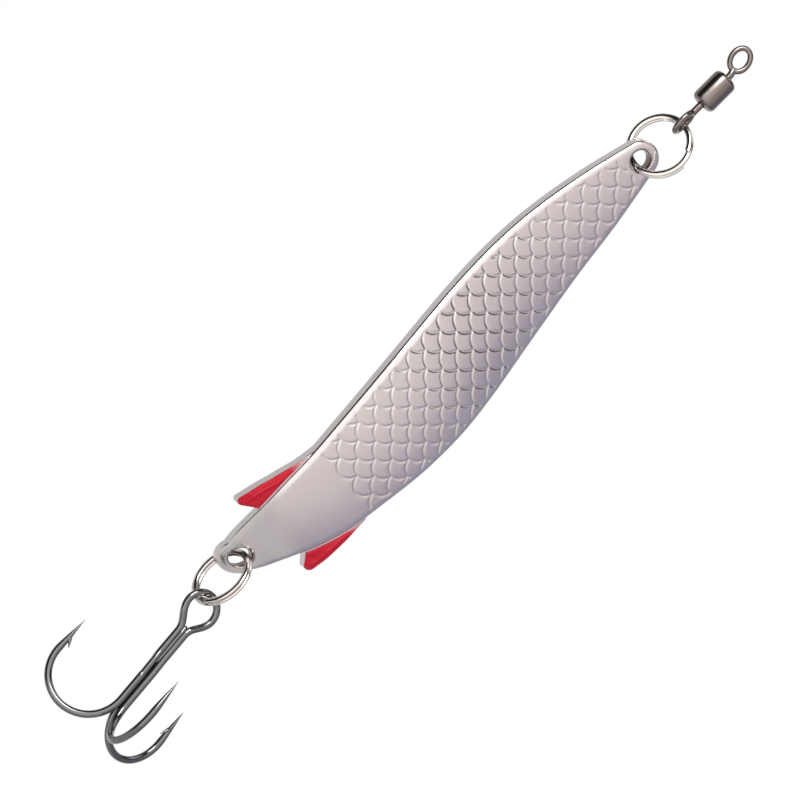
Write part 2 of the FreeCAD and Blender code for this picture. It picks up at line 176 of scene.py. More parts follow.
class FinSettings(bpy.types.PropertyGroup):
    width: length_setting("Width", "Width across both fins", 15.75)
    step: length_setting("Step", "How far the bare fins lie behind the sides", 0.02)
    right_lift: length_setting("Right lift", "How much higher the right fin sits", 0.62)
    enamel: length_setting("Enamel", "Thickness of the red coat", 0.20)
    enamel_margin: length_setting("Enamel margin", "Bare strip between enamel and body", 0.13)
    tuck: length_setting("Tuck", "How far a fin's metal runs into the body", 0.9)
    fade: length_setting("Fade", "Length over which the enamel's top thins out", 7.5)
    coat_roll: length_setting("Coat roll", "Width of the enamel's rounded edge", 0.42)
    coat_fall: length_setting("Coat fall", "Fall of the enamel's rounded edge", 0.19)
    metal_roll: length_setting("Metal roll", "Width of the fin's rounded edge", 0.30)
    metal_fall: length_setting("Metal fall", "Fall of the fin's rounded edge", 0.10)
    outline_pitch: length_setting("Outline pitch", "Spacing of vertices along the outline", 0.12)
    mesh_pitch: length_setting("Mesh pitch", "Spacing of the front's vertices", 0.14)
    back_pitch: length_setting("Back pitch", "Spacing of the back's vertices", 0.5)
    bead_inset: length_setting("Bead inset", "Outer edge to the thickest line of the enamel", 0.85)
    bead_width: length_setting("Bead width", "Half width of the enamel's thickest line", 0.20)
    bead_rise: length_setting("Bead rise", "Rise of the enamel's thickest line", 0.17)
    tip_radius: length_setting("Tip radius", "Rounding of the fin tips", 0.75)
    notch_share: share_setting("Notch", "Where a fin's lower edge meets the body", 0.892)
    tip_share: share_setting("Tip", "Lowest point of a fin", 0.911)


class RingSettings(bpy.types.PropertyGroup):
    outer_radius: length_setting("Outer radius", "Outer radius of a split ring", 4.85)
    wire_radial: length_setting("Wire width", "Width of the flattened wire", 0.90)
    wire_axial: length_setting("Wire thickness", "Thickness of the flattened wire", 0.59)
    turn_gap: length_setting("Turn gap", "Gap between the two turns", 0.03)
    turns: FloatProperty(name="Turns", description="Turns of wire in a split ring", default=1.93,
                         min=1.0)
    head_cut: angle_setting("Head cut", "Where the head ring's wire begins", 0.0)
    tail_cut: angle_setting("Tail cut", "Where the tail ring's wire begins", 250.0)


class SwivelSettings(bpy.types.PropertyGroup):
    wire: length_setting("Wire", "Diameter of the eyes' wire", 0.82)
    stem: length_setting("Stem", "Diameter of the stems", 1.05)
    stem_head: length_setting("Stem head", "Radius of the head inside the barrel", 1.05)
    head_depth: length_setting("Head depth", "Barrel's end to the near side of a stem's head", 0.9)
    head_thickness: length_setting("Head thickness", "Thickness of a stem's head", 0.7)
    stem_reach: length_setting("Stem reach", "Barrel's end to the end of a stem", 1.4)
    neck_rise: length_setting("Neck rise", "Straight stem over the barrel", 0.55)
    barrel_corner: length_setting("Barrel corner", "Rounding of the barrel's ends", 0.75)
    barrel_bore: length_setting("Barrel bore", "Radius of the bores in the barrel's ends", 0.68)
    barrel_wall: length_setting("Barrel wall", "Thickness of the barrel's side", 0.55)
    barrel_end: length_setting("Barrel end", "Thickness of the barrel's ends", 0.8)
    bore_break: length_setting("Bore break", "Broken edge of the end bores", 0.06)
    loop_half_width: length_setting("Loop half width", "Half width of an eye's centre line", 1.32)
    loop_half_height: length_setting("Loop half height", "Half height of that centre line", 1.78)
    eye_turn: angle_setting("Line eye turn", "Which way the line eye faces", 28.0)
    ring_eye_turn: angle_setting("Ring eye turn", "Which way the ring's eye faces", 135.0)


class TrebleSettings(bpy.types.PropertyGroup):
    wire: length_setting("Wire", "Diameter of the hooks' wire", 1.08)
    eye_half_width: length_setting("Eye half width", "Half width of the eye's centre line", 2.47)
    neck: length_setting("Neck", "Eye centre down to where the shanks meet", 4.27)
    eye_arc: angle_setting("Eye arc", "Half of the round part of the eye", 112.0)
    merge_top: length_setting("Merge top", "Eye centre down to where the pair makes room", 8.27)
    cut_end: length_setting("Cut end", "Eye centre down to the third shank's end", 11.97)
    bend_drop: length_setting("Bend drop", "Eye centre down to the centre of the bends", 16.73)
    bend_radius: length_setting("Bend radius", "Radius of a bend, to the wire's centre", 5.72)
    point_length: length_setting("Point length", "Length of the tapered point", 5.35)
    point_lean: angle_setting("Point lean", "Lean of a point towards its shank", 3.0)
    shank_gap: length_setting("Shank gap", "Gap between touching shanks", 0.04)
    eye_side: length_setting("Eye side", "Crown of the eye to where it bears on the ring", 0.40)
    ring_slide: length_setting("Ring slide", "Lowest point of the ring to where it bears", 1.30)
    ring_clearance: length_setting("Ring clearance", "Gap between the eye and the ring", 0.35)
    first_azimuth: angle_setting("First hook", "Which way the third hook points", 142.0)
    cluster_turn: angle_setting("Bundle turn", "From a hook to its shank's place in the bundle",
                                58.0)
    pair_turn: angle_setting("Pair turn", "Turn of the two upper shanks from the eye's plane", 25.0)
    eye_turn: angle_setting("Eye turn", "Which way the eye's plane faces", 3.0)
    lean_side: angle_setting("Side lean", "Lean of the shank to the side", 1.8)
    lean_front: angle_setting("Front lean", "Lean of the shank to the front", 7.5)


class FinishSettings(bpy.types.PropertyGroup):
    plating: colour_setting("Plating", "Colour of the blade's nickel plating", (0.76, 0.715, 0.72))
    # Painted shade: this dark colour is painted in and round the blade's ring holes, where shade
    # falls in the bores.
    painted_hole_shade: colour_setting("Painted hole shade", "Colour of the plating where a ring rubs", (0.085, 0.055, 0.045))
    ring_nickel: colour_setting("Ring nickel", "Colour of the split rings", (0.76, 0.725, 0.69))
    dark_nickel: colour_setting("Dark nickel", "Colour of the swivel", (0.27, 0.238, 0.222))
    black_nickel: colour_setting("Black nickel", "Colour of the treble hook", (0.22, 0.22, 0.225))
    enamel_red: colour_setting("Enamel red", "Colour of the fins", (0.55, 0.001, 0.022))


class StageSettings(bpy.types.PropertyGroup):
    camera_turn: angle_setting("Camera turn", "Camera to the left of the face", 28.0)
    camera_drop: angle_setting("Camera drop", "Camera below the level", 6.0)
    camera_roll: angle_setting("Camera roll", "Roll of the picture", 45.0)
    frame_width: length_setting("Frame width", "Width seen at the lure", 111.53)
    centre_drop: length_setting("Centre drop", "Line eye down to the picture's centre", 68.04)
    floor_drop: length_setting("Floor drop", "Line eye down to the floor", 330.0)


# ---------------------------------------------------------------------------
# Mesh helpers
# ---------------------------------------------------------------------------

def cubic_through(stations):
    """A natural cubic curve through (place, value) pairs, as a function."""
    places, values = (np.array(column, float) for column in zip(*stations))
    count, gaps = len(places), np.diff(places)
    matrix, right = np.eye(count), np.zeros(count)
    for i in range(1, count - 1):
        matrix[i, i - 1:i + 2] = gaps[i - 1], 2 * (gaps[i - 1] + gaps[i]), gaps[i]
        right[i] = 6 * ((values[i + 1] - values[i]) / gaps[i]
                        - (values[i] - values[i - 1]) / gaps[i - 1])
    curved = np.linalg.solve(matrix, right)

    def at(place):
        place = np.asarray(place, float)
        i = np.clip(np.searchsorted(places, place) - 1, 0, count - 2)
        gap, after, before = gaps[i], places[i + 1] - place, place - places[i]
        return ((curved[i] * after ** 3 + curved[i + 1] * before ** 3) / (6 * gap)
                + (values[i] / gap - curved[i] * gap / 6) * after
                + (values[i + 1] / gap - curved[i + 1] * gap / 6) * before)

    return at


def add_object(name, vertices, faces, sharp_angle=35.0):
    """A smooth-shaded mesh object, sharp only at corners."""
    mesh = bpy.data.meshes.new(name)
    mesh.from_pydata([tuple(vertex) for vertex in vertices], [], faces)
    mesh.validate()
    mesh.shade_smooth()
    mesh.set_sharp_from_angle(angle=math.radians(sharp_angle))
    piece = bpy.data.objects.new(name, mesh)
    bpy.context.collection.objects.link(piece)
    return piece


def finish_piece(piece, body, nodes, material):
    """Gives a piece its material and its body, and hides the nodes that it stands for."""
    if not piece.data.materials:
        piece.data.materials.append(material)
    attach(piece, body)
    if nodes:
        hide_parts(*nodes)


def baked(piece):
    """Turns a piece's live modifiers into plain mesh."""
    graph = bpy.context.evaluated_depsgraph_get()
    mesh = bpy.data.meshes.new_from_object(piece.evaluated_get(graph))
    piece.modifiers.clear()
    piece.data = mesh
    return piece


def swept_tube(path, radii, sides=20, closed=False):
    """A round tube of changing radius along a path of points."""
    path = [Vector(point) for point in path]
    count = len(path)
    vertices, faces = [], []
    tangents = []
    for i in range(count):
        before = path[i - 1] if (i or closed) else path[i]
        after = path[(i + 1) % count] if (i < count - 1 or closed) else path[i]
        tangents.append((after - before).normalized())
    side = tangents[0].orthogonal().normalized()
    for i, (point, tangent) in enumerate(zip(path, tangents)):
        side = (side - tangent * side.dot(tangent)).normalized()
        up = tangent.cross(side)
        for j in range(sides):
            angle = 2 * math.pi * j / sides
            vertices.append(point + (side * math.cos(angle) + up * math.sin(angle)) * radii[i])
    rings = count if closed else count - 1
    shift = 0
    if closed:
        gap = [(vertices[j] - vertices[(count - 1) * sides]).length for j in range(sides)]
        shift = gap.index(min(gap))
    for i in range(rings):
        a, b = i * sides, ((i + 1) % count) * sides
        turn = shift if (closed and i == count - 1) else 0
        for j in range(sides):
            k = (j + 1) % sides
            faces.append((a + j, a + k, b + (k + turn) % sides, b + (j + turn) % sides))
    if not closed:
        faces.append(tuple(range(sides - 1, -1, -1)))
        faces.append(tuple((count - 1) * sides + j for j in range(sides)))
    return vertices, faces


def lathed(profile, centre, sides=64):
    """A closed ring of a profile of (radius, height) turned about Z."""
    vertices, faces = [], []
    rows = len(profile)
    for radius, height in profile:
        for j in range(sides):
            angle = 2 * math.pi * j / sides
            rim = Vector((radius * math.cos(angle), radius * math.sin(angle), height))
            vertices.append(centre + rim)
    for i in range(rows):
        a, b = i * sides, ((i + 1) % rows) * sides
        for j in range(sides):
            k = (j + 1) % sides
            faces.append((a + j, a + k, b + k, b + j))
    return vertices, faces


def joined(parts):
    """Lists of vertices and faces, put together as one."""
    vertices, faces = [], []
    for part_vertices, part_faces in parts:
        base = len(vertices)
        vertices += list(part_vertices)
        faces += [tuple(base + index for index in face) for face in part_faces]
    return vertices, faces


def resampled(points, spacing):
    """Points at an even spacing along an open polyline."""
    points = np.array(points, float)
    run = np.concatenate([[0], np.cumsum(np.linalg.norm(np.diff(points, axis=0), axis=1))])
    places = np.linspace(0, run[-1], max(2, int(round(run[-1] / spacing)) + 1))
    return np.column_stack([np.interp(places, run, points[:, i]) for i in range(points.shape[1])])


def loop_normals(loop):
    """Inward normals of a clockwise or anticlockwise closed outline."""
    along = np.roll(loop, -1, axis=0) - np.roll(loop, 1, axis=0)
    along /= np.linalg.norm(along, axis=1)[:, None]
    following = np.roll(loop, -1, axis=0)
    area = 0.5 * np.sum(loop[:, 0] * following[:, 1] - following[:, 0] * loop[:, 1])
    normals = np.column_stack([-along[:, 1], along[:, 0]])
    return normals if area > 0 else -normals


def distance_to_loop(points, loop):
    """Each point's distance to a closed outline, in batches."""
    start, along = loop, np.roll(loop, -1, axis=0) - loop
    lengths = np.maximum((along ** 2).sum(1), 1e-18)
    result = np.empty(len(points))
    for first in range(0, len(points), 4000):
        batch = points[first:first + 4000, None, :] - start[None]
        share = np.clip((batch * along[None]).sum(2) / lengths, 0, 1)
        off = batch - share[..., None] * along[None]
        result[first:first + 4000] = np.sqrt((off ** 2).sum(2).min(1))
    return result


def inside_loop(points, loop):
    """Which points a closed outline holds."""
    held = np.zeros(len(points), bool)
    following = np.roll(loop, -1, axis=0)
    for (ax, az), (bx, bz) in zip(loop, following):
        crosses = (az > points[:, 1]) != (bz > points[:, 1])
        if az != bz:
            held ^= crosses & (points[:, 0] < (bx - ax) * (points[:, 1] - az) / (bz - az) + ax)
    return held


def flat_mesh(outline, holes, offsets, hole_offsets, spacing):
    """Triangles over an outline with round holes: even loops at the edges, a grid inside."""
    loops = [outline]
    normals = loop_normals(outline)
    for offset in offsets:
        moved = outline + normals * offset
        clear = inside_loop(moved, outline)
        clear[clear] = distance_to_loop(moved[clear], outline) > 0.95 * offset
        loops.append(moved[clear])
    points = list(loops)
    count = len(outline)
    edges = [(i, (i + 1) % count) for i in range(count)]
    total = sum(len(loop) for loop in loops)
    hole_starts = []
    for centre, radius in holes:
        angles = np.arange(HOLE_SIDES) * 2 * math.pi / HOLE_SIDES
        rim = np.column_stack([np.cos(angles), np.sin(angles)])
        hole_starts.append(total)
        edges += [(total + i, total + (i + 1) % HOLE_SIDES) for i in range(HOLE_SIDES)]
        for offset in (0.0,) + tuple(hole_offsets):
            points.append(np.array(centre) + rim * (radius + offset))
            total += HOLE_SIDES
    low, high = outline.min(0), outline.max(0)
    rows = np.arange(low[1], high[1], spacing * math.sqrt(3) / 2)
    grid = []
    for row, z in enumerate(rows):
        xs = np.arange(low[0] + (row % 2) * spacing / 2, high[0], spacing)
        grid.append(np.column_stack([xs, np.full(len(xs), z)]))
    grid = np.vstack(grid)
    keep = inside_loop(grid, outline)
    border = 0.55 * spacing
    keep[keep] = distance_to_loop(grid[keep], outline) > max(offsets, default=0) + border
    for centre, radius in holes:
        away = np.linalg.norm(grid - np.array(centre), axis=1)
        keep &= away > radius + max(hole_offsets, default=0) + border
    points = np.vstack(points + [grid[keep]])
    scale = 1.0 / MM
    inside_edges = 1
    result = delaunay_2d_cdt([Vector(p) * scale for p in points.tolist()], edges, [],
                             inside_edges, 1e-6)
    flat = np.array([tuple(v) for v in result[0]]) / scale
    triangles = np.array([face for face in result[2] if len(face) == 3])
    middles = flat[triangles].mean(1)
    keep = np.ones(len(middles), bool)
    for centre, radius in holes:
        keep &= np.linalg.norm(middles - np.array(centre), axis=1) > radius * 0.999
    return flat, triangles[keep], count, hole_starts


def plate(name, outline, holes, front, back, offsets, hole_offsets, spacing, back_spacing):
    """A closed plate: a fine front, a plain back and straight walls between them."""
    sheets = []
    for surface, pitch, ways, hole_ways in (
            (front, spacing, offsets, hole_offsets),
            (back, back_spacing, offsets[:BACK_EDGE_LOOPS], hole_offsets)):
        flat, triangles, rim, starts = flat_mesh(outline, holes, ways, hole_ways, pitch)
        depth = surface(flat)
        solid = np.column_stack([flat[:, 0], depth, flat[:, 1]])
        a, b, c = (solid[triangles[:, i]] for i in range(3))
        facing = np.cross(b - a, c - a)[:, 1]
        flip = (facing > 0) if surface is front else (facing < 0)
        triangles[flip] = triangles[flip][:, ::-1]
        sheets.append((solid, triangles, rim, starts))
    (front_points, front_faces, rim, starts), (back_points, back_faces, _, back_starts) = sheets
    base = len(front_points)
    faces = [tuple(face) for face in front_faces.tolist()]
    faces += [tuple(index + base for index in face) for face in back_faces.tolist()]
    rims = [(0, 0, rim)]
    rims += [(start, other, HOLE_SIDES) for start, other in zip(starts, back_starts)]
    for number, (start, other, count) in enumerate(rims):
        loop = front_points[start:start + count]
        following = np.roll(loop, -1, axis=0)
        area = np.sum(loop[:, 0] * following[:, 2] - following[:, 0] * loop[:, 2])
        turned = (area > 0) == (number == 0)
        for i in range(count):
            j = (i + 1) % count
            wall = (start + i, start + j, base + other + j, base + other + i)
            faces.append(wall[::-1] if turned else wall)
    piece = add_object(name, np.vstack([front_points, back_points]), faces)
    return piece, len(front_points)


# ---------------------------------------------------------------------------
# Shader node helpers and shared effects
# ---------------------------------------------------------------------------

def linked(tree, source, target):
    """One link between two sockets."""
    tree.links.new(source, target)


def maths(tree, operation, first, second=None, third=None):
    """A Math node whose inputs are sockets or plain numbers."""
    node = tree.nodes.new("ShaderNodeMath")
    node.operation = operation
    for socket, value in zip(node.inputs, (first, second, third)):
        if value is None:
            continue
        if isinstance(value, (int, float)):
            socket.default_value = value
        else:
            linked(tree, value, socket)
    return node.outputs[0]


def new_group(name, kind, inputs, outputs):
    """An empty node group with named inputs and outputs."""
    group = bpy.data.node_groups.new(name, kind)
    for label, socket, default in inputs:
        made = group.interface.new_socket(label, in_out="INPUT", socket_type=socket)
        if default is not None:
            made.default_value = default
    for label, socket in outputs:
        group.interface.new_socket(label, in_out="OUTPUT", socket_type=socket)
    return group, group.nodes.new("NodeGroupInput"), group.nodes.new("NodeGroupOutput")


def wear_group():
    """Hairlines and soft handling marks for polished plating."""
    if "Handling Marks" in bpy.data.node_groups:
        return bpy.data.node_groups["Handling Marks"]
    group, start, end = new_group(
        "Handling Marks", "ShaderNodeTree",
        (("Base Roughness", "NodeSocketFloat", 0.1), ("Haze", "NodeSocketFloat", 0.05),
         ("Hairlines", "NodeSocketFloat", 0.3)),
        (("Roughness", "NodeSocketFloat"), ("Height", "NodeSocketFloat"),
         ("Tarnish", "NodeSocketFloat")))
    place = group.nodes.new("ShaderNodeTexCoord")
    haze = group.nodes.new("ShaderNodeTexNoise")
    haze.inputs["Scale"].default_value = 180.0
    haze.inputs["Detail"].default_value = 4.0
    linked(group, place.outputs["Object"], haze.inputs["Vector"])
    stretch = group.nodes.new("ShaderNodeMapping")
    stretch.inputs["Rotation"].default_value = (0.2, 0.1, 0.6)
    stretch.inputs["Scale"].default_value = (9000.0, 9000.0, 420.0)
    linked(group, place.outputs["Object"], stretch.inputs["Vector"])
    lines = group.nodes.new("ShaderNodeTexNoise")
    lines.inputs["Scale"].default_value = 1.0
    lines.inputs["Detail"].default_value = 2.0
    linked(group, stretch.outputs[0], lines.inputs["Vector"])
    mark = maths(group, "POWER", lines.outputs[0], 3.0)
    height = maths(group, "MULTIPLY", mark, start.outputs["Hairlines"])
    cloud = maths(group, "SUBTRACT", haze.outputs[0], 0.45)
    cloud = maths(group, "MULTIPLY", cloud, start.outputs["Haze"])
    rough = maths(group, "ADD", start.outputs["Base Roughness"], cloud)
    rough = maths(group, "ADD", rough, maths(group, "MULTIPLY", height, 0.06))
    linked(group, rough, end.inputs["Roughness"])
    linked(group, height, end.inputs["Height"])
    linked(group, haze.outputs[0], end.inputs["Tarnish"])
    return group


def polished_metal(name, colour, hole_shade_colour, darker, roughness, haze, hairlines, bump):
    """Plated metal with handling marks, a slightly uneven tone and painted shade where marked."""
    material = bpy.data.materials.new(name)
    material.use_nodes = True
    tree = material.node_tree
    shader = tree.nodes["Principled BSDF"]
    shader.inputs["Metallic"].default_value = 1.0
    marks = tree.nodes.new("ShaderNodeGroup")
    marks.node_tree = wear_group()
    marks.inputs["Base Roughness"].default_value = roughness
    marks.inputs["Haze"].default_value = haze
    marks.inputs["Hairlines"].default_value = hairlines
    tone = tree.nodes.new("ShaderNodeMix")
    tone.data_type = "RGBA"
    tone.inputs["A"].default_value = (*colour, 1.0)
    tone.inputs["B"].default_value = (*[channel * darker for channel in colour], 1.0)
    linked(tree, marks.outputs["Tarnish"], tone.inputs["Factor"])
    # Painted shade: the vertex attribute read here mixes a dark colour into the base colour in and
    # round the blade's ring holes.
    painted_hole_shade = tree.nodes.new("ShaderNodeAttribute")
    painted_hole_shade.attribute_name = "painted_hole_shade"
    hole_shaded = tree.nodes.new("ShaderNodeMix")
    hole_shaded.data_type = "RGBA"
    linked(tree, painted_hole_shade.outputs["Fac"], hole_shaded.inputs["Factor"])
    linked(tree, tone.outputs["Result"], hole_shaded.inputs["A"])
    hole_shaded.inputs["B"].default_value = (*hole_shade_colour, 1.0)
    linked(tree, hole_shaded.outputs["Result"], shader.inputs["Base Color"])
    linked(tree, marks.outputs["Roughness"], shader.inputs["Roughness"])
    relief = tree.nodes.new("ShaderNodeBump")
    relief.inputs["Strength"].default_value = bump
    relief.inputs["Distance"].default_value = 0.00002
    linked(tree, marks.outputs["Height"], relief.inputs["Height"])
    linked(tree, relief.outputs["Normal"], shader.inputs["Normal"])
    return material


def enamel_material(settings):
    """Glossy red enamel that thins to bare plating along its painted edge."""
    material = bpy.data.materials.new("fin_enamel")
    material.use_nodes = True
    tree = material.node_tree
    shader = tree.nodes["Principled BSDF"]
    shader.inputs["Specular IOR Level"].default_value = 0.12
    shader.inputs["Coat Weight"].default_value = 0.5
    shader.inputs["Coat Roughness"].default_value = 0.05
    cover = tree.nodes.new("ShaderNodeAttribute")
    cover.attribute_name = "cover"
    place = tree.nodes.new("ShaderNodeTexCoord")
    ragged = tree.nodes.new("ShaderNodeTexNoise")
    ragged.inputs["Scale"].default_value = 1400.0
    ragged.inputs["Detail"].default_value = 3.0
    linked(tree, place.outputs["Object"], ragged.inputs["Vector"])
    shifted = maths(tree, "MULTIPLY_ADD", ragged.outputs[0], 0.22, -0.11)
    shifted = maths(tree, "ADD", cover.outputs["Fac"], shifted)
    edge = tree.nodes.new("ShaderNodeMapRange")
    edge.interpolation_type = "SMOOTHSTEP"
    edge.inputs["From Min"].default_value = 0.15
    edge.inputs["From Max"].default_value = 0.75
    linked(tree, shifted, edge.inputs["Value"])
    tone = tree.nodes.new("ShaderNodeMix")
    tone.data_type = "RGBA"
    tone.inputs["A"].default_value = (*settings.plating, 1.0)
    tone.inputs["B"].default_value = (*settings.enamel_red, 1.0)
    linked(tree, edge.outputs["Result"], tone.inputs["Factor"])
    linked(tree, tone.outputs["Result"], shader.inputs["Base Color"])
    metal = maths(tree, "SUBTRACT", 1.0, edge.outputs["Result"])
    linked(tree, metal, shader.inputs["Metallic"])
    marks = tree.nodes.new("ShaderNodeGroup")
    marks.node_tree = wear_group()
    marks.inputs["Base Roughness"].default_value = 0.16
    marks.inputs["Haze"].default_value = 0.10
    marks.inputs["Hairlines"].default_value = 0.2
    linked(tree, marks.outputs["Roughness"], shader.inputs["Roughness"])
    pooled = tree.nodes.new("ShaderNodeTexNoise")
    pooled.inputs["Scale"].default_value = 480.0
    pooled.inputs["Detail"].default_value = 1.5
    linked(tree, place.outputs["Object"], pooled.inputs["Vector"])
    relief = tree.nodes.new("ShaderNodeBump")
    relief.inputs["Strength"].default_value = 0.7
    relief.inputs["Distance"].default_value = 0.0006
    linked(tree, pooled.outputs[0], relief.inputs["Height"])
    linked(tree, relief.outputs["Normal"], shader.inputs["Normal"])
    linked(tree, relief.outputs["Normal"], shader.inputs["Coat Normal"])
    return material


# ---------------------------------------------------------------------------
# Blade
# ---------------------------------------------------------------------------

def blade_length():
    return BLADE_HIGH.z - BLADE_LOW.z


def blade_width():
    return BLADE_HIGH.x - BLADE_LOW.x


def blade_middle():
    return (BLADE_HIGH.x + BLADE_LOW.x) / 2


def blade_z(share):
    return BLADE_HIGH.z - share * blade_length()


def face_depth(points, settings, flat_fins=False):
    """Y of the level that the scaled face stands up from, at points (x, z)."""
    bend, flank = cubic_through(BEND_STATIONS), cubic_through(FLANK_STATIONS)
    share = np.clip((BLADE_HIGH.z - points[:, 1]) / blade_length(), 0, 1)
    back = bend(np.linspace(0.5, 0.8, 200)).max() - bend(share)
    across = np.abs(points[:, 0] - blade_middle())
    if flat_fins:
        across = np.minimum(across, flank(np.clip(share, 0.1, 0.95)) * blade_width())
    return BLADE_LOW.y + settings.bend_depth * back + across ** 2 / (2 * settings.crown_radius)


def mirrored_outline(side_points):
    """A closed outline from its right side, listed from the top down."""
    right = np.array(side_points)
    left = right[::-1].copy()
    left[:, 0] = 2 * blade_middle() - left[:, 0]
    loop = np.vstack([right, left])
    keep = np.linalg.norm(loop - np.roll(loop, 1, axis=0), axis=1) > 1e-7
    return loop[keep]


def body_outline(settings):
    """Head lug, flank, taper and tail lug."""
    radius, middle = settings.lug_radius, blade_middle()
    flank = cubic_through(FLANK_STATIONS)
    side = []
    for step in range(24):
        angle = math.radians(90 - 90 * step / 24)
        side.append((middle + radius * math.cos(angle),
                     blade_z(0) - radius + radius * math.sin(angle)))
    shares = np.linspace(FLANK_STATIONS[0][0], FLANK_STATIONS[-1][0], 300)
    side += [(middle + float(flank(share)) * blade_width(), blade_z(share)) for share in shares]
    for step in range(1, 25):
        angle = math.radians(-90 * step / 24)
        side.append((middle + radius * math.cos(angle),
                     blade_z(1) + radius + radius * math.sin(angle)))
    return mirrored_outline(resampled(side, settings.outline_pitch))


def ring_holes(settings):
    """Centres and radii of the two holes, each in the middle of its lug."""
    middle = blade_middle()
    return [((middle, blade_z(0) - settings.lug_radius), settings.hole_radius),
            ((middle, blade_z(1) + settings.lug_radius), settings.hole_radius)]


def shoulder(distance, width, drop, corner):
    """Fall at a distance inside an edge: a slope with an eased start and a round corner."""
    ease = 0.45 * width
    run = np.clip(width - distance, 0, width)
    slope = drop / (width - ease / 2)
    fall = np.where(run < ease, run ** 2 / (2 * ease), run - ease / 2) * slope
    inner = np.clip(1 - distance / corner, 0, 1)
    return fall + corner * (1 - np.sqrt(np.clip(1 - inner ** 2, 0, 1)))


def hole_break(points, holes, width):
    """Fall of the rounded edge round each hole."""
    fall = np.zeros(len(points))
    for centre, radius in holes:
        away = np.linalg.norm(points - np.array(centre), axis=1) - radius
        inner = np.clip(1 - np.clip(away, 0, None) / width, 0, 1)
        fall += width * 0.8 * (1 - np.sqrt(np.clip(1 - inner ** 2, 0, 1)))
    return fall


def scale_tree():
    """Presses staggered rows of scale outlines into the face."""
    group, start, end = new_group(
        "Scale Rows", "GeometryNodeTree",
        (("Geometry", "NodeSocketGeometry", None), ("Pitch", "NodeSocketFloat", 0.004),
         ("Row Spacing", "NodeSocketFloat", 0.0018), ("Groove Width", "NodeSocketFloat", 0.0002),
         ("Groove Depth", "NodeSocketFloat", 0.0001), ("Dome", "NodeSocketFloat", 0.00002),
         ("First Row Z", "NodeSocketFloat", 0.0), ("Middle X", "NodeSocketFloat", 0.0),
         ("Phase", "NodeSocketFloat", 0.25), ("Rows", "NodeSocketFloat", 30.0),
         ("Margin", "NodeSocketFloat", 0.001), ("Material", "NodeSocketMaterial", None)),
        (("Geometry", "NodeSocketGeometry"),))
    inputs = start.outputs

    def m(operation, first, second=None, third=None):
        return maths(group, operation, first, second, third)

    position = group.nodes.new("GeometryNodeInputPosition")
    split = group.nodes.new("ShaderNodeSeparateXYZ")
    linked(group, position.outputs[0], split.inputs[0])
    height = inputs["Row Spacing"]
    down = m("DIVIDE", m("SUBTRACT", inputs["First Row Z"], split.outputs["Z"]), height)
    across = m("SUBTRACT", m("DIVIDE", m("SUBTRACT", split.outputs["X"], inputs["Middle X"]),
                             inputs["Pitch"]), inputs["Phase"])
    half_pitch = m("MULTIPLY", inputs["Pitch"], 0.5)
    squares = m("ADD", m("MULTIPLY", half_pitch, half_pitch), m("MULTIPLY", height, height))
    radius = m("DIVIDE", squares, m("MULTIPLY", height, 2.0))
    rise = m("SUBTRACT", height, radius)

    def row_distance(row):
        odd = m("MULTIPLY", m("PINGPONG", row, 1.0), 0.5)
        local = m("WRAP", m("SUBTRACT", across, odd), 0.5, -0.5)
        dx = m("MULTIPLY", local, inputs["Pitch"])
        dz = m("MULTIPLY", m("SUBTRACT", down, m("SUBTRACT", row, 1.0)), height)
        dz = m("SUBTRACT", dz, rise)
        reach = m("SQRT", m("ADD", m("MULTIPLY", dx, dx), m("MULTIPLY", dz, dz)))
        apart = m("ABSOLUTE", m("SUBTRACT", reach, radius))
        in_range = m("MULTIPLY", m("GREATER_THAN", row, 0.5),
                     m("LESS_THAN", row, m("ADD", inputs["Rows"], 0.5)))
        return m("ADD", apart, m("SUBTRACT", 1.0, in_range))

    row = m("CEIL", down)
    nearest = m("MINIMUM", row_distance(row), row_distance(m("SUBTRACT", row, 1.0)))
    groove = group.nodes.new("ShaderNodeMapRange")
    groove.interpolation_type = "SMOOTHSTEP"
    linked(group, nearest, groove.inputs["Value"])
    linked(group, inputs["Groove Width"], groove.inputs["From Min"])
    groove.inputs["From Max"].default_value = 0.0
    groove.inputs["To Min"].default_value = 0.0
    groove.inputs["To Max"].default_value = 1.0
    swell = m("DIVIDE", nearest, m("MULTIPLY", height, 0.5))
    swell = m("MULTIPLY", m("MINIMUM", swell, 1.0), inputs["Dome"])
    margin = group.nodes.new("GeometryNodeInputNamedAttribute")
    margin.data_type = "FLOAT"
    margin.inputs["Name"].default_value = "margin"
    fade = group.nodes.new("ShaderNodeMapRange")
    fade.interpolation_type = "SMOOTHSTEP"
    linked(group, margin.outputs["Attribute"], fade.inputs["Value"])
    linked(group, m("MULTIPLY", inputs["Margin"], 0.75), fade.inputs["From Min"])
    linked(group, m("MULTIPLY", inputs["Margin"], 1.25), fade.inputs["From Max"])
    within = m("MULTIPLY", m("GREATER_THAN", down, -0.2),
               m("LESS_THAN", down, m("ADD", inputs["Rows"], 0.6)))
    sunk = m("SUBTRACT", m("MULTIPLY", groove.outputs["Result"], inputs["Groove Depth"]), swell)
    sunk = m("MULTIPLY", m("MULTIPLY", sunk, fade.outputs["Result"]), within)
    move = group.nodes.new("ShaderNodeCombineXYZ")
    linked(group, sunk, move.inputs["Y"])
    press = group.nodes.new("GeometryNodeSetPosition")
    linked(group, inputs["Geometry"], press.inputs["Geometry"])
    linked(group, move.outputs[0], press.inputs["Offset"])
    real = group.nodes.new("GeometryNodeRealizeInstances")
    linked(group, press.outputs[0], real.inputs[0])
    paint = group.nodes.new("GeometryNodeSetMaterial")
    linked(group, real.outputs[0], paint.inputs["Geometry"])
    linked(group, inputs["Material"], paint.inputs["Material"])
    linked(group, paint.outputs[0], end.inputs["Geometry"])
    return group


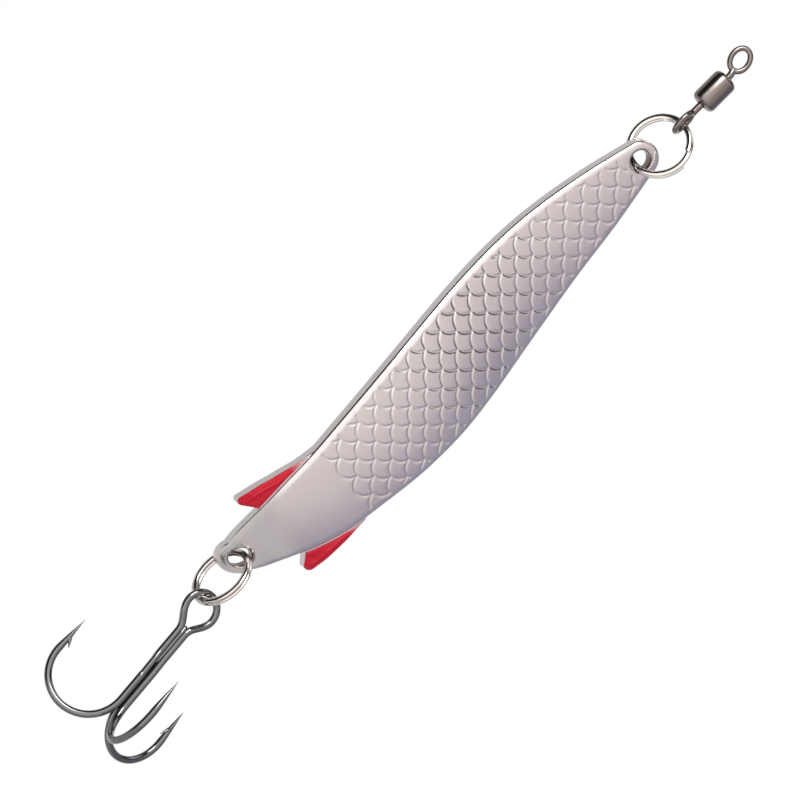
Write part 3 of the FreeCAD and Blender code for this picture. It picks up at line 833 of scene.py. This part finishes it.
def add_tree(piece, tree, values):
    """Runs a node tree on a piece with these named inputs and bakes it."""
    modifier = piece.modifiers.new(tree.name, "NODES")
    modifier.node_group = tree
    for item in tree.interface.items_tree:
        if item.in_out == "INPUT" and item.name in values:
            modifier[item.identifier] = values[item.name]
    return baked(piece)


def make_blade_body(blade, scales, material):
    """The body of the stamping, with its rolled edge, holes and scales."""
    outline = body_outline(blade)
    holes = ring_holes(blade)

    def front(points):
        inside = distance_to_loop(points, outline)
        return (face_depth(points, blade) - blade.face_rise
                + shoulder(inside, blade.shoulder_width, blade.shoulder_drop, blade.corner_radius)
                + hole_break(points, holes, blade.countersink))

    def back(points):
        return (face_depth(points, blade) - blade.face_rise + blade.thickness
                - shoulder(distance_to_loop(points, outline), 0.5 * MM, 0.02 * MM,
                           blade.back_corner)
                - hole_break(points, holes, blade.countersink))

    offsets = [step * MM for step in BODY_EDGE_LOOPS]
    hole_offsets = [blade.countersink * step for step in HOLE_EDGE_SHARES]
    piece, fronts = plate("blade_body", outline, holes, front, back, offsets, hole_offsets,
                          blade.mesh_pitch, blade.back_pitch)
    points = np.array([(v.co.x, v.co.z) for v in piece.data.vertices])
    margin, painted_hole_shade = np.zeros(len(points)), np.zeros(len(points))
    margin[:fronts] = distance_to_loop(points[:fronts], outline)
    for centre, radius in holes:
        away = np.linalg.norm(points - np.array(centre), axis=1) - radius
        clear = np.clip(away - blade.countersink, 0, None)
        margin[:fronts] = np.minimum(margin[:fronts], clear[:fronts] * 3)
        # Painted shade: a dark ramp at each ring hole's bore, fading out across its broken edge.
        painted_hole_shade = np.maximum(painted_hole_shade, 0.8 * np.clip(1 - away / (0.8 * blade.countersink), 0, 1))
    piece.data.attributes.new("margin", "FLOAT", "POINT").data.foreach_set("value", margin)
    piece.data.attributes.new("painted_hole_shade", "FLOAT", "POINT").data.foreach_set("value", painted_hole_shade)
    first_row = blade_z(scales.end_share) + scales.rows * scales.row_spacing
    add_tree(piece, scale_tree(), {
        "Pitch": scales.pitch, "Row Spacing": scales.row_spacing,
        "Groove Width": scales.groove_width,
        "Groove Depth": scales.groove_depth, "Dome": scales.dome, "First Row Z": first_row,
        "Middle X": blade_middle(), "Phase": scales.phase, "Rows": float(scales.rows),
        "Margin": scales.margin, "Material": material})
    return piece


def fin_outline(fins, lift, tuck):
    """One fin: down its outer edge, round the tip, in to the body and up along its flank."""
    outer = cubic_through(FIN_STATIONS)
    flank = cubic_through(FLANK_STATIONS)
    shares = np.linspace(FIN_STATIONS[0][0], FIN_STATIONS[-1][0], 80)
    room = outer(shares) * fins.width - flank(shares) * blade_width() + tuck
    first = shares[np.argmax(room > 0.05 * MM)]
    radius = fins.tip_radius
    tip_z = blade_z(fins.tip_share) + lift
    points = [(float(outer(share)) * fins.width, blade_z(share)) for share in shares
              if share >= first and blade_z(share) > tip_z + 1.6 * radius]
    tip_centre = (fins.width / 2 - radius * 0.93, tip_z + radius)
    for step in range(10):
        angle = math.radians(8 - 118 * step / 9)
        points.append((tip_centre[0] + radius * math.cos(angle),
                       tip_centre[1] + radius * math.sin(angle)))
    notch = fins.notch_share - lift / blade_length()
    points.append((float(flank(notch)) * blade_width() + max(0.0, -tuck), blade_z(notch)))
    points += [(float(flank(share)) * blade_width() - tuck, blade_z(share))
               for share in np.linspace(notch - 0.002, first + (0.012 if tuck > 0 else 0.002), 30)]
    return points


def make_fin(side, blade, fins, material, enamel_finish):
    """A fin of bare metal a step below the face, and its coat of enamel."""
    outer = cubic_through(FIN_STATIONS)
    bare = blade.thickness - blade.face_rise - fins.step - 0.05 * MM
    layers = (("metal", fins.tuck, fins.step, bare, fins.metal_roll, fins.metal_fall),
              ("enamel", -fins.enamel_margin, fins.step - fins.enamel, fins.enamel + 0.02 * MM,
               fins.coat_roll, fins.coat_fall))
    pieces = []
    for name, tuck, lift, thick, roll_width, roll_drop in layers:
        coat = name == "enamel"
        loop = fin_outline(fins, fins.right_lift if side > 0 else 0.0, tuck)
        loop = resampled(loop + [loop[0]], fins.outline_pitch)[:-1]
        loop[:, 0] = blade_middle() + side * loop[:, 0]

        def front(points, loop=loop, lift=lift, roll_width=roll_width, roll_drop=roll_drop,
                  coat=coat):
            inside = distance_to_loop(points, loop)
            depth = (face_depth(points, blade, True) + lift
                     + shoulder(inside, roll_width, roll_drop, roll_width / 2))
            if coat:
                share = (BLADE_HIGH.z - points[:, 1]) / blade_length()
                share = np.clip(share, 0, FIN_STATIONS[-1][0])
                gap = outer(share) * fins.width - np.abs(points[:, 0] - blade_middle())
                bead = np.exp(-((gap - fins.bead_inset) / fins.bead_width) ** 2)
                depth -= fins.bead_rise * bead * np.clip(inside / fins.bead_inset, 0, 1)
            return depth

        def back(points, lift=lift, thick=thick):
            return face_depth(points, blade, True) + lift + thick

        offsets = [step * MM for step in FIN_EDGE_LOOPS]
        piece, _ = plate("fin_" + name + ("_left" if side < 0 else "_right"), loop, [], front, back,
                         offsets, (), fins.mesh_pitch, fins.back_pitch)
        if coat:
            top = blade_z(FIN_STATIONS[0][0])
            fade = [min(1.0, max(0.0, (top - vertex.co.z) / fins.fade))
                    for vertex in piece.data.vertices]
            piece.data.attributes.new("cover", "FLOAT", "POINT").data.foreach_set("value", fade)
        piece.data.materials.append(enamel_finish if coat else material)
        pieces.append(piece)
    return pieces


# ---------------------------------------------------------------------------
# Split rings
# ---------------------------------------------------------------------------

def coil_tree():
    """A flattened wire wound in a close coil about Z."""
    group, start, end = new_group(
        "Split Ring", "GeometryNodeTree",
        (("Geometry", "NodeSocketGeometry", None), ("Mean Radius", "NodeSocketFloat", 0.0044),
         ("Pitch", "NodeSocketFloat", 0.0006), ("Turns", "NodeSocketFloat", 1.9),
         ("Wire Radial", "NodeSocketFloat", 0.0009), ("Wire Axial", "NodeSocketFloat", 0.0006),
         ("Turn", "NodeSocketFloat", 0.0), ("Material", "NodeSocketMaterial", None)),
        (("Geometry", "NodeSocketGeometry"),))
    inputs = start.outputs
    spiral = group.nodes.new("GeometryNodeCurveSpiral")
    spiral.inputs["Resolution"].default_value = 96
    linked(group, inputs["Turns"], spiral.inputs["Rotations"])
    linked(group, inputs["Mean Radius"], spiral.inputs["Start Radius"])
    linked(group, inputs["Mean Radius"], spiral.inputs["End Radius"])
    height = maths(group, "MULTIPLY", inputs["Pitch"], inputs["Turns"])
    linked(group, height, spiral.inputs["Height"])
    upright = group.nodes.new("GeometryNodeSetCurveNormal")
    upright.mode = "Z_UP"
    linked(group, spiral.outputs[0], upright.inputs["Curve"])
    section = group.nodes.new("GeometryNodeCurvePrimitiveCircle")
    section.inputs["Resolution"].default_value = 28
    section.inputs["Radius"].default_value = 0.5
    size = group.nodes.new("ShaderNodeCombineXYZ")
    linked(group, inputs["Wire Radial"], size.inputs["X"])
    linked(group, inputs["Wire Axial"], size.inputs["Y"])
    size.inputs["Z"].default_value = 1.0
    flatten = group.nodes.new("GeometryNodeTransform")
    linked(group, section.outputs["Curve"], flatten.inputs["Geometry"])
    linked(group, size.outputs[0], flatten.inputs["Scale"])
    wire = group.nodes.new("GeometryNodeCurveToMesh")
    linked(group, upright.outputs[0], wire.inputs["Curve"])
    linked(group, flatten.outputs[0], wire.inputs["Profile Curve"])
    wire.inputs["Fill Caps"].default_value = True
    place = group.nodes.new("GeometryNodeTransform")
    linked(group, wire.outputs[0], place.inputs["Geometry"])
    turn = group.nodes.new("ShaderNodeCombineXYZ")
    linked(group, inputs["Turn"], turn.inputs["Z"])
    linked(group, turn.outputs[0], place.inputs["Rotation"])
    lower = group.nodes.new("ShaderNodeCombineXYZ")
    linked(group, maths(group, "MULTIPLY", height, -0.5), lower.inputs["Z"])
    linked(group, lower.outputs[0], place.inputs["Translation"])
    smooth = group.nodes.new("GeometryNodeSetShadeSmooth")
    linked(group, place.outputs[0], smooth.inputs["Geometry"])
    real = group.nodes.new("GeometryNodeRealizeInstances")
    linked(group, smooth.outputs[0], real.inputs[0])
    paint = group.nodes.new("GeometryNodeSetMaterial")
    linked(group, real.outputs[0], paint.inputs["Geometry"])
    linked(group, inputs["Material"], paint.inputs["Material"])
    linked(group, paint.outputs[0], end.inputs["Geometry"])
    return group


def make_ring(name, centre, swing_axis, turn, rings, tree, material):
    """One split ring, its axis square to the axis that it swings about."""
    piece = bpy.data.objects.new(name, bpy.data.meshes.new(name))
    bpy.context.collection.objects.link(piece)
    mean = rings.outer_radius - rings.wire_radial / 2
    add_tree(piece, tree, {
        "Mean Radius": mean, "Pitch": rings.wire_axial + rings.turn_gap, "Turns": rings.turns,
        "Wire Radial": rings.wire_radial, "Wire Axial": rings.wire_axial, "Turn": turn,
        "Material": material})
    across = Vector(swing_axis).normalized()
    up = Vector((0, 0, 1))
    facing = Matrix((across, up, across.cross(up))).transposed().to_4x4()
    piece.data.transform(Matrix.Translation(centre) @ facing)
    piece.data.shade_smooth()
    piece.data.set_sharp_from_angle(angle=math.radians(50))
    return piece


# ---------------------------------------------------------------------------
# Swivel
# ---------------------------------------------------------------------------

def barrel_profile(swivel):
    """Half section of the hollow barrel: rounded outside, a cavity and two end bores."""
    radius = (BARREL_HIGH.x - BARREL_LOW.x) / 2
    length = BARREL_HIGH.z - BARREL_LOW.z
    corner, bore, end_wall = swivel.barrel_corner, swivel.barrel_bore, swivel.barrel_end
    edge, cavity = swivel.bore_break, radius - swivel.barrel_wall
    profile = [(bore, edge), (bore + edge, 0.0)]
    for step in range(10):
        angle = math.radians(90 * step / 9)
        profile.append((radius - corner + corner * math.sin(angle),
                        corner - corner * math.cos(angle)))
    for step in range(10):
        angle = math.radians(90 * step / 9)
        profile.append((radius - corner + corner * math.cos(angle),
                        length - corner + corner * math.sin(angle)))
    profile += [(bore + edge, length), (bore, length - edge), (bore, length - end_wall),
                (cavity, length - end_wall), (cavity, end_wall), (bore, end_wall)]
    return profile


def oval_loop(swivel, steps=72):
    """Centre line of an eye."""
    angles = [2 * math.pi * i / steps for i in range(steps)]
    return [Vector((swivel.loop_half_width * math.sin(angle), 0.0,
                    swivel.loop_half_height * math.cos(angle))) for angle in angles]


def stem_head(swivel, axis, barrel_end, inward):
    """The round head that holds a stem inside the barrel."""
    near, far = swivel.head_depth, swivel.head_depth + swivel.head_thickness
    path = [axis + Vector((0, 0, barrel_end + inward * depth)) for depth in (near, far)]
    return swept_tube(path, [swivel.stem_head] * 2, 32)


def make_line_eye(swivel):
    """The eye the line is tied to, leaning over its stem."""
    axis = Vector((SWIVEL_AXIS.x, SWIVEL_AXIS.y, 0))
    neck = axis + Vector((0, 0, BARREL_HIGH.z + swivel.neck_rise))
    lean = math.atan2(axis.length, -neck.z)
    turn = Matrix.Rotation(-swivel.eye_turn, 4, "Z") @ Matrix.Rotation(-lean, 4, "Y")
    loop = [turn @ point for point in oval_loop(swivel)]
    foot = turn @ Vector((0, 0, -swivel.loop_half_height * 0.92))
    stem = [foot, foot.lerp(neck, 0.5), neck, neck - Vector((0, 0, 0.4 * MM)),
            axis + Vector((0, 0, BARREL_HIGH.z - swivel.stem_reach))]
    stem_radii = [swivel.wire / 2] + [swivel.stem / 2] * 4
    return joined([swept_tube(loop, [swivel.wire / 2] * len(loop), closed=True),
                   swept_tube(stem, stem_radii),
                   stem_head(swivel, axis, BARREL_HIGH.z, -1)])


def make_ring_eye(swivel, centre_z):
    """The eye that carries the head ring, on a plain stem."""
    axis = Vector((SWIVEL_AXIS.x, SWIVEL_AXIS.y, 0))
    centre = axis + Vector((0, 0, centre_z))
    turn = Matrix.Rotation(-swivel.ring_eye_turn, 4, "Z")
    loop = [centre + turn @ point for point in oval_loop(swivel)]
    stem = [centre + Vector((0, 0, swivel.loop_half_height * 0.95)),
            axis + Vector((0, 0, BARREL_LOW.z + swivel.stem_reach))]
    return joined([swept_tube(loop, [swivel.wire / 2] * len(loop), closed=True),
                   swept_tube(stem, [swivel.stem / 2] * 2),
                   stem_head(swivel, axis, BARREL_LOW.z, 1)])


# ---------------------------------------------------------------------------
# Treble hook
# ---------------------------------------------------------------------------

def hook_out(treble, index):
    """Direction from the bundle of shanks to a hook's point."""
    azimuth = treble.first_azimuth + math.radians(120) * index
    return Vector((math.cos(azimuth), math.sin(azimuth), 0))


def merged_spot(treble, index, drop):
    """Centre of a shank where all three touch."""
    touching = (treble.wire + treble.shank_gap) / math.sqrt(3)
    azimuth = treble.first_azimuth + treble.cluster_turn + math.radians(120) * index
    return Vector((math.cos(azimuth) * touching, math.sin(azimuth) * touching, -drop))


def paired_spot(treble, side, drop):
    """Centre of one shank of the upper pair."""
    apart = side * (treble.wire + treble.shank_gap) / 2
    return Vector((math.cos(treble.pair_turn) * apart, -math.sin(treble.pair_turn) * apart, -drop))


def eased(start, end, steps):
    """A vertical wire that moves sideways smoothly between two depths."""
    points = []
    for step in range(1, steps + 1):
        share = step / steps
        blend = share * share * (3 - 2 * share)
        spot = start.lerp(end, blend)
        points.append(Vector((spot.x, spot.y, start.z + (end.z - start.z) * share)))
    return points


def bend_and_point(treble, index):
    """Centre points and radii of a bend and the tapered point after it."""
    out, radius = hook_out(treble, index), treble.wire / 2
    centre = merged_spot(treble, index, treble.bend_drop) + out * treble.bend_radius
    lean = treble.point_lean
    points, radii = [], []
    for step in range(1, 49):
        swing = (math.pi + lean) * step / 48
        points.append(centre - out * (math.cos(swing) * treble.bend_radius)
                      - Vector((0, 0, math.sin(swing) * treble.bend_radius)))
        radii.append(radius)
    up = Vector((0, 0, math.cos(lean))) - out * math.sin(lean)
    foot = points[-1]
    for step in range(1, 21):
        share = step / 20
        points.append(foot + up * (treble.point_length * share))
        radii.append(max(0.02 * MM, radius * (1 - share ** 1.25)))
    barb_root = foot + up * (treble.point_length * 0.44) + out * (0.05 * MM)
    barb_tip = foot + up * (treble.point_length * 0.12) - out * (radius + 0.55 * MM)
    barb = [barb_root.lerp(barb_tip, step / 6) for step in range(7)]
    barb_radii = [radius * value for value in BARB_TAPER]
    return points, radii, swept_tube(barb, barb_radii, 12)


def hook_placement(treble, rings):
    """The treble's lean and place, hung in the tail ring."""
    across = Vector(JOINTS["tail_ring_swing"]["axis"]).normalized()
    mean = rings.outer_radius - rings.wire_radial / 2
    slide, side = treble.ring_slide, treble.eye_side
    bearing = TAIL_RING_CENTRE + across * slide - Vector((0, 0, math.sqrt(mean ** 2 - slide ** 2)))
    facing = Vector((math.cos(treble.eye_turn), -math.sin(treble.eye_turn), 0))
    stack = treble.wire / 2 + rings.wire_radial / 2 + treble.ring_clearance
    crown = math.sqrt(treble.eye_half_width ** 2 - side ** 2)
    place = bearing + facing * side + Vector((0, 0, stack - crown))
    return (Matrix.Translation(place) @ Matrix.Rotation(-treble.eye_turn, 4, "Z")
            @ Matrix.Rotation(-treble.lean_side, 4, "Y")
            @ Matrix.Rotation(-treble.lean_front, 4, "X"))


def double_hook_parts(treble):
    """One wire: a bend, a shank, the eye, the other shank and its bend, with two barbs."""
    swing_end = treble.eye_arc
    halves, barbs = [], []
    for index, side in ((2, -1), (1, 1)):
        points = []
        for step in range(1, 29):
            swing = swing_end * step / 28
            round_eye = Vector((side * math.sin(swing), 0, math.cos(swing)))
            points.append(round_eye * treble.eye_half_width)
        shoulder_point = points[-1]
        leaving = Vector((side * math.cos(swing_end), 0, -math.sin(swing_end)))
        neck = paired_spot(treble, side, treble.neck)
        pull = (neck - shoulder_point).length * 0.4
        poles = [shoulder_point, shoulder_point + leaving * pull, neck + Vector((0, 0, pull)), neck]
        for step in range(1, 15):
            share = step / 14
            left = 1 - share
            points.append(poles[0] * left ** 3 + poles[1] * 3 * share * left ** 2
                          + poles[2] * 3 * share * share * left + poles[3] * share ** 3)
        parting = paired_spot(treble, side, treble.merge_top)
        points += [neck.lerp(parting, step / 5) for step in range(1, 6)]
        merged = merged_spot(treble, index, treble.cut_end - 0.22 * MM)
        points += eased(parting, merged, 10)
        low = merged_spot(treble, index, treble.bend_drop)
        points += [merged.lerp(low, step / 6) for step in range(1, 7)]
        radii = [treble.wire / 2] * len(points)
        bend, bend_radii, barb = bend_and_point(treble, index)
        halves.append((points + bend, radii + bend_radii))
        barbs.append(barb)
    crown = Vector((0, 0, treble.eye_half_width))
    path = halves[0][0][::-1] + [crown] + halves[1][0]
    radii = halves[0][1][::-1] + [treble.wire / 2] + halves[1][1]
    return joined([swept_tube(path, radii, 24)] + barbs)


def single_hook_parts(treble):
    """The third hook, with its plain cut end."""
    top = merged_spot(treble, 0, treble.cut_end)
    low = merged_spot(treble, 0, treble.bend_drop)
    path = [top, top.lerp(low, 0.02)] + [top.lerp(low, step / 6) for step in range(1, 7)]
    radii = [treble.wire * 0.46] + [treble.wire / 2] * 7
    bend, bend_radii, barb = bend_and_point(treble, 0)
    return joined([swept_tube(path + bend, radii + bend_radii, 24), barb])


def braze_parts(treble):
    """Filler metal along both grooves of the pair and over the third shank's top."""
    across = Vector((-math.sin(treble.pair_turn), -math.cos(treble.pair_turn), 0))
    parts = []
    for side, run in ((1, FRONT_GROOVE), (-1, BACK_GROOVE)):
        path = [across * (side * 0.30 * MM) - Vector((0, 0, drop * MM)) for drop in run]
        parts.append(swept_tube(path, [value * MM for value in GROOVE_FILL], 14))
    shank_top = merged_spot(treble, 0, treble.cut_end + 0.5 * MM)
    start = paired_spot(treble, -1, treble.merge_top - 1.2 * MM) + across * (0.1 * MM)
    path = [start.lerp(shank_top, step / 12) for step in range(13)]
    parts.append(swept_tube(path, [treble.wire * value for value in SHANK_FILL], 20))
    return joined(parts)


def placed(parts, matrix):
    """Vertices moved by a matrix, with their faces."""
    vertices, faces = parts
    return [matrix @ Vector(vertex) for vertex in vertices], faces


# ---------------------------------------------------------------------------
# Stage
# ---------------------------------------------------------------------------

def studio_world():
    """White surroundings, with soft grey and dark flats that only reflections see."""
    world = bpy.data.worlds.new("studio")
    bpy.context.scene.world = world
    world.use_nodes = True
    tree = world.node_tree
    tree.nodes.clear()
    place = tree.nodes.new("ShaderNodeTexCoord")
    turn = tree.nodes.new("ShaderNodeMapping")
    turn.inputs["Rotation"].default_value = (0, 0, math.radians(90))
    linked(tree, place.outputs["Generated"], turn.inputs["Vector"])
    around = tree.nodes.new("ShaderNodeTexGradient")
    around.gradient_type = "RADIAL"
    linked(tree, turn.outputs[0], around.inputs["Vector"])
    ramp = tree.nodes.new("ShaderNodeValToRGB")
    elements = ramp.color_ramp.elements
    while len(elements) < len(AZIMUTH_TONES):
        elements.new(0.5)
    for element, (azimuth, colour) in zip(elements, AZIMUTH_TONES):
        element.position = (azimuth + 180) / 360
        element.color = (*colour, 1.0)
    linked(tree, around.outputs["Fac"], ramp.inputs["Fac"])
    split = tree.nodes.new("ShaderNodeSeparateXYZ")
    linked(tree, place.outputs["Generated"], split.inputs[0])
    steep = maths(tree, "ABSOLUTE", split.outputs["Z"])
    colour = ramp.outputs["Color"]
    for low, high, tone in HEIGHT_TONES:
        height = tree.nodes.new("ShaderNodeMapRange")
        height.interpolation_type = "SMOOTHSTEP"
        height.inputs["From Min"].default_value = low
        height.inputs["From Max"].default_value = high
        linked(tree, steep, height.inputs["Value"])
        blend = tree.nodes.new("ShaderNodeMix")
        blend.data_type = "RGBA"
        linked(tree, height.outputs["Result"], blend.inputs["Factor"])
        linked(tree, colour, blend.inputs["A"])
        blend.inputs["B"].default_value = tone
        colour = blend.outputs["Result"]
    studio = tree.nodes.new("ShaderNodeBackground")
    linked(tree, colour, studio.inputs["Color"])
    plain = tree.nodes.new("ShaderNodeBackground")
    plain.inputs["Color"].default_value = (1, 1, 1, 1)
    path = tree.nodes.new("ShaderNodeLightPath")
    choose = tree.nodes.new("ShaderNodeMixShader")
    linked(tree, path.outputs["Is Camera Ray"], choose.inputs["Fac"])
    linked(tree, studio.outputs[0], choose.inputs[1])
    linked(tree, plain.outputs[0], choose.inputs[2])
    out = tree.nodes.new("ShaderNodeOutputWorld")
    linked(tree, choose.outputs[0], out.inputs["Surface"])


def make_floor(settings):
    """A pale floor that takes the object's shadow."""
    material = bpy.data.materials.new("pale_floor")
    material.use_nodes = True
    shader = material.node_tree.nodes["Principled BSDF"]
    shader.inputs["Base Color"].default_value = (0.86, 0.86, 0.86, 1)
    shader.inputs["Roughness"].default_value = 0.7
    sides, radius = 96, 0.30
    angles = [2 * math.pi * i / sides for i in range(sides)]
    rim = [(radius * math.cos(angle), radius * math.sin(angle), -settings.floor_drop)
           for angle in angles]
    floor = add_object("floor", rim, [tuple(range(sides))])
    floor.data.materials.append(material)


def make_camera(settings):
    """A long lens below and to the left of the face, rolled so that the head is up and right."""
    turn, drop = settings.camera_turn, settings.camera_drop
    looking = Vector((math.sin(turn) * math.cos(drop), math.cos(turn) * math.cos(drop),
                      math.sin(drop)))
    right = Vector((math.cos(turn), -math.sin(turn), 0))
    up = right.cross(looking)
    data = bpy.data.cameras.new("camera")
    data.lens, data.sensor_width = 250.0, 36.0
    data.clip_start, data.clip_end = 0.05, 10.0
    distance = settings.frame_width * data.lens / data.sensor_width
    camera = bpy.data.objects.new("camera", data)
    bpy.context.collection.objects.link(camera)
    roll = settings.camera_roll
    rolled_right = right * math.cos(roll) + up * math.sin(roll)
    rolled_up = up * math.cos(roll) - right * math.sin(roll)
    target = Vector((0, 0, -settings.centre_drop))
    frame_axes = Matrix((rolled_right, rolled_up, -looking)).transposed()
    camera.matrix_world = Matrix.Translation(target - looking * distance) @ frame_axes.to_4x4()
    bpy.context.scene.camera = camera


def make_light():
    """One soft box, up and to the left of the face."""
    data = bpy.data.lights.new("key_softbox", "AREA")
    data.energy, data.size = 1.4, 0.25
    lamp = bpy.data.objects.new("key_softbox", data)
    bpy.context.collection.objects.link(lamp)
    lamp.location = (-0.38, -0.24, 0.22)
    aim = Vector((0, 0, -0.06)) - lamp.location
    lamp.rotation_euler = aim.to_track_quat("-Z", "Y").to_euler()


# ---------------------------------------------------------------------------
# Operators
# ---------------------------------------------------------------------------

def finish_material(key):
    """The shared finishes, each made once."""
    if key in bpy.data.materials:
        return bpy.data.materials[key]
    finish = bpy.context.scene.lure_finish
    if key == "nickel_plating":
        return polished_metal(key, finish.plating, finish.painted_hole_shade, 0.93, 0.20, 0.05, 0.35, 0.15)
    if key == "ring_nickel":
        return polished_metal(key, finish.ring_nickel, finish.painted_hole_shade, 0.92, 0.14, 0.05, 0.3, 0.12)
    if key == "dark_nickel":
        return polished_metal(key, finish.dark_nickel, finish.painted_hole_shade, 0.75, 0.20, 0.10, 0.4, 0.2)
    if key == "black_nickel":
        return polished_metal(key, finish.black_nickel, finish.painted_hole_shade, 0.85, 0.12, 0.05, 0.3, 0.12)
    if key == "fin_enamel":
        return enamel_material(finish)
    raise KeyError(key)


class LURE_OT_blade(bpy.types.Operator):
    """Make the scaled blade with its fins and their enamel"""
    bl_idname = "lure.blade"
    bl_label = "Blade"

    def execute(self, context):
        scene = context.scene
        plating, enamel = finish_material("nickel_plating"), finish_material("fin_enamel")
        body = make_blade_body(scene.lure_blade, scene.lure_scales, plating)
        finish_piece(body, "blade_body", ("blade",), plating)
        for side, node in ((-1, "left_fin_enamel"), (1, "right_fin_enamel")):
            metal, coat = make_fin(side, scene.lure_blade, scene.lure_fins, plating, enamel)
            finish_piece(metal, "blade_body", (), plating)
            finish_piece(coat, "blade_body", (node,), enamel)
        return {"FINISHED"}


class LURE_OT_rings(bpy.types.Operator):
    """Make the two split rings"""
    bl_idname = "lure.rings"
    bl_label = "Split rings"

    def execute(self, context):
        rings, nickel, tree = context.scene.lure_rings, finish_material("ring_nickel"), coil_tree()
        head = make_ring("head_ring_coil", HEAD_RING_CENTRE, JOINTS["head_ring_swing"]["axis"],
                         rings.head_cut, rings, tree, nickel)
        finish_piece(head, "head_ring_body", ("head_split_ring",), nickel)
        tail = make_ring("tail_ring_coil", TAIL_RING_CENTRE, JOINTS["tail_ring_swing"]["axis"],
                         rings.tail_cut, rings, tree, nickel)
        finish_piece(tail, "tail_ring_body", ("tail_split_ring",), nickel)
        return {"FINISHED"}


class LURE_OT_swivel(bpy.types.Operator):
    """Make the barrel swivel and its two eyes"""
    bl_idname = "lure.swivel"
    bl_label = "Swivel"

    def execute(self, context):
        swivel, metal = context.scene.lure_swivel, finish_material("dark_nickel")
        axis = Vector((SWIVEL_AXIS.x, SWIVEL_AXIS.y, BARREL_LOW.z))
        barrel = add_object("barrel_shell", *lathed(barrel_profile(swivel), axis))
        finish_piece(barrel, "barrel_body", ("swivel_barrel",), metal)
        line_eye = add_object("line_eye_wire", *make_line_eye(swivel))
        finish_piece(line_eye, "line_eye_body", ("swivel_line_eye",), metal)
        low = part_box("swivel_ring_eye")[0]
        centre_z = low[2] + swivel.wire / 2 + swivel.loop_half_height
        ring_eye = add_object("ring_eye_wire", *make_ring_eye(swivel, centre_z))
        finish_piece(ring_eye, "ring_eye_body", ("swivel_ring_eye",), metal)
        return {"FINISHED"}


class LURE_OT_treble(bpy.types.Operator):
    """Make the treble hook"""
    bl_idname = "lure.treble"
    bl_label = "Treble hook"

    def execute(self, context):
        scene = context.scene
        treble, metal = scene.lure_treble, finish_material("black_nickel")
        matrix = hook_placement(treble, scene.lure_rings)
        for name, node, slot, parts in (
                ("double_hook_wire", "double_hook", "hook_steel", double_hook_parts(treble)),
                ("single_hook_wire", "single_hook", "hook_steel", single_hook_parts(treble)),
                ("braze_fillets", "shank_braze", "braze_metal", braze_parts(treble))):
            piece = add_object(name, *placed(parts, matrix), sharp_angle=50.0)
            finish_piece(piece, "treble_body", (node,), metal)
        return {"FINISHED"}


class LURE_OT_stage(bpy.types.Operator):
    """Set the floor, light and camera"""
    bl_idname = "lure.stage"
    bl_label = "Stage"

    def execute(self, context):
        settings = context.scene.lure_stage
        context.scene.view_settings.view_transform = "Standard"
        studio_world()
        make_floor(settings)
        make_light()
        make_camera(settings)
        return {"FINISHED"}


class LURE_PT_panel(bpy.types.Panel):
    """Buttons for the lure's pieces"""
    bl_label = "Spoon lure"
    bl_idname = "LURE_PT_panel"
    bl_space_type = "VIEW_3D"
    bl_region_type = "UI"
    bl_category = "Lure"

    def draw(self, context):
        for operator in OPERATORS:
            self.layout.operator(operator.bl_idname)


OPERATORS = (LURE_OT_blade, LURE_OT_rings, LURE_OT_swivel, LURE_OT_treble, LURE_OT_stage)
SETTINGS = (
    ("lure_blade", BladeSettings), ("lure_scales", ScaleSettings), ("lure_fins", FinSettings),
    ("lure_rings", RingSettings), ("lure_swivel", SwivelSettings), ("lure_treble", TrebleSettings),
    ("lure_finish", FinishSettings), ("lure_stage", StageSettings),
)


def register():
    for name, group in SETTINGS:
        bpy.utils.register_class(group)
        setattr(bpy.types.Scene, name, PointerProperty(type=group))
    for operator in OPERATORS + (LURE_PT_panel,):
        bpy.utils.register_class(operator)


def unregister():
    for operator in reversed(OPERATORS + (LURE_PT_panel,)):
        bpy.utils.unregister_class(operator)
    for name, group in reversed(SETTINGS):
        delattr(bpy.types.Scene, name)
        bpy.utils.unregister_class(group)


def main():
    register()
    bpy.ops.lure.blade()
    bpy.ops.lure.rings()
    bpy.ops.lure.swivel()
    bpy.ops.lure.treble()
    bpy.ops.lure.stage()


if __name__ == "__main__":
    main()
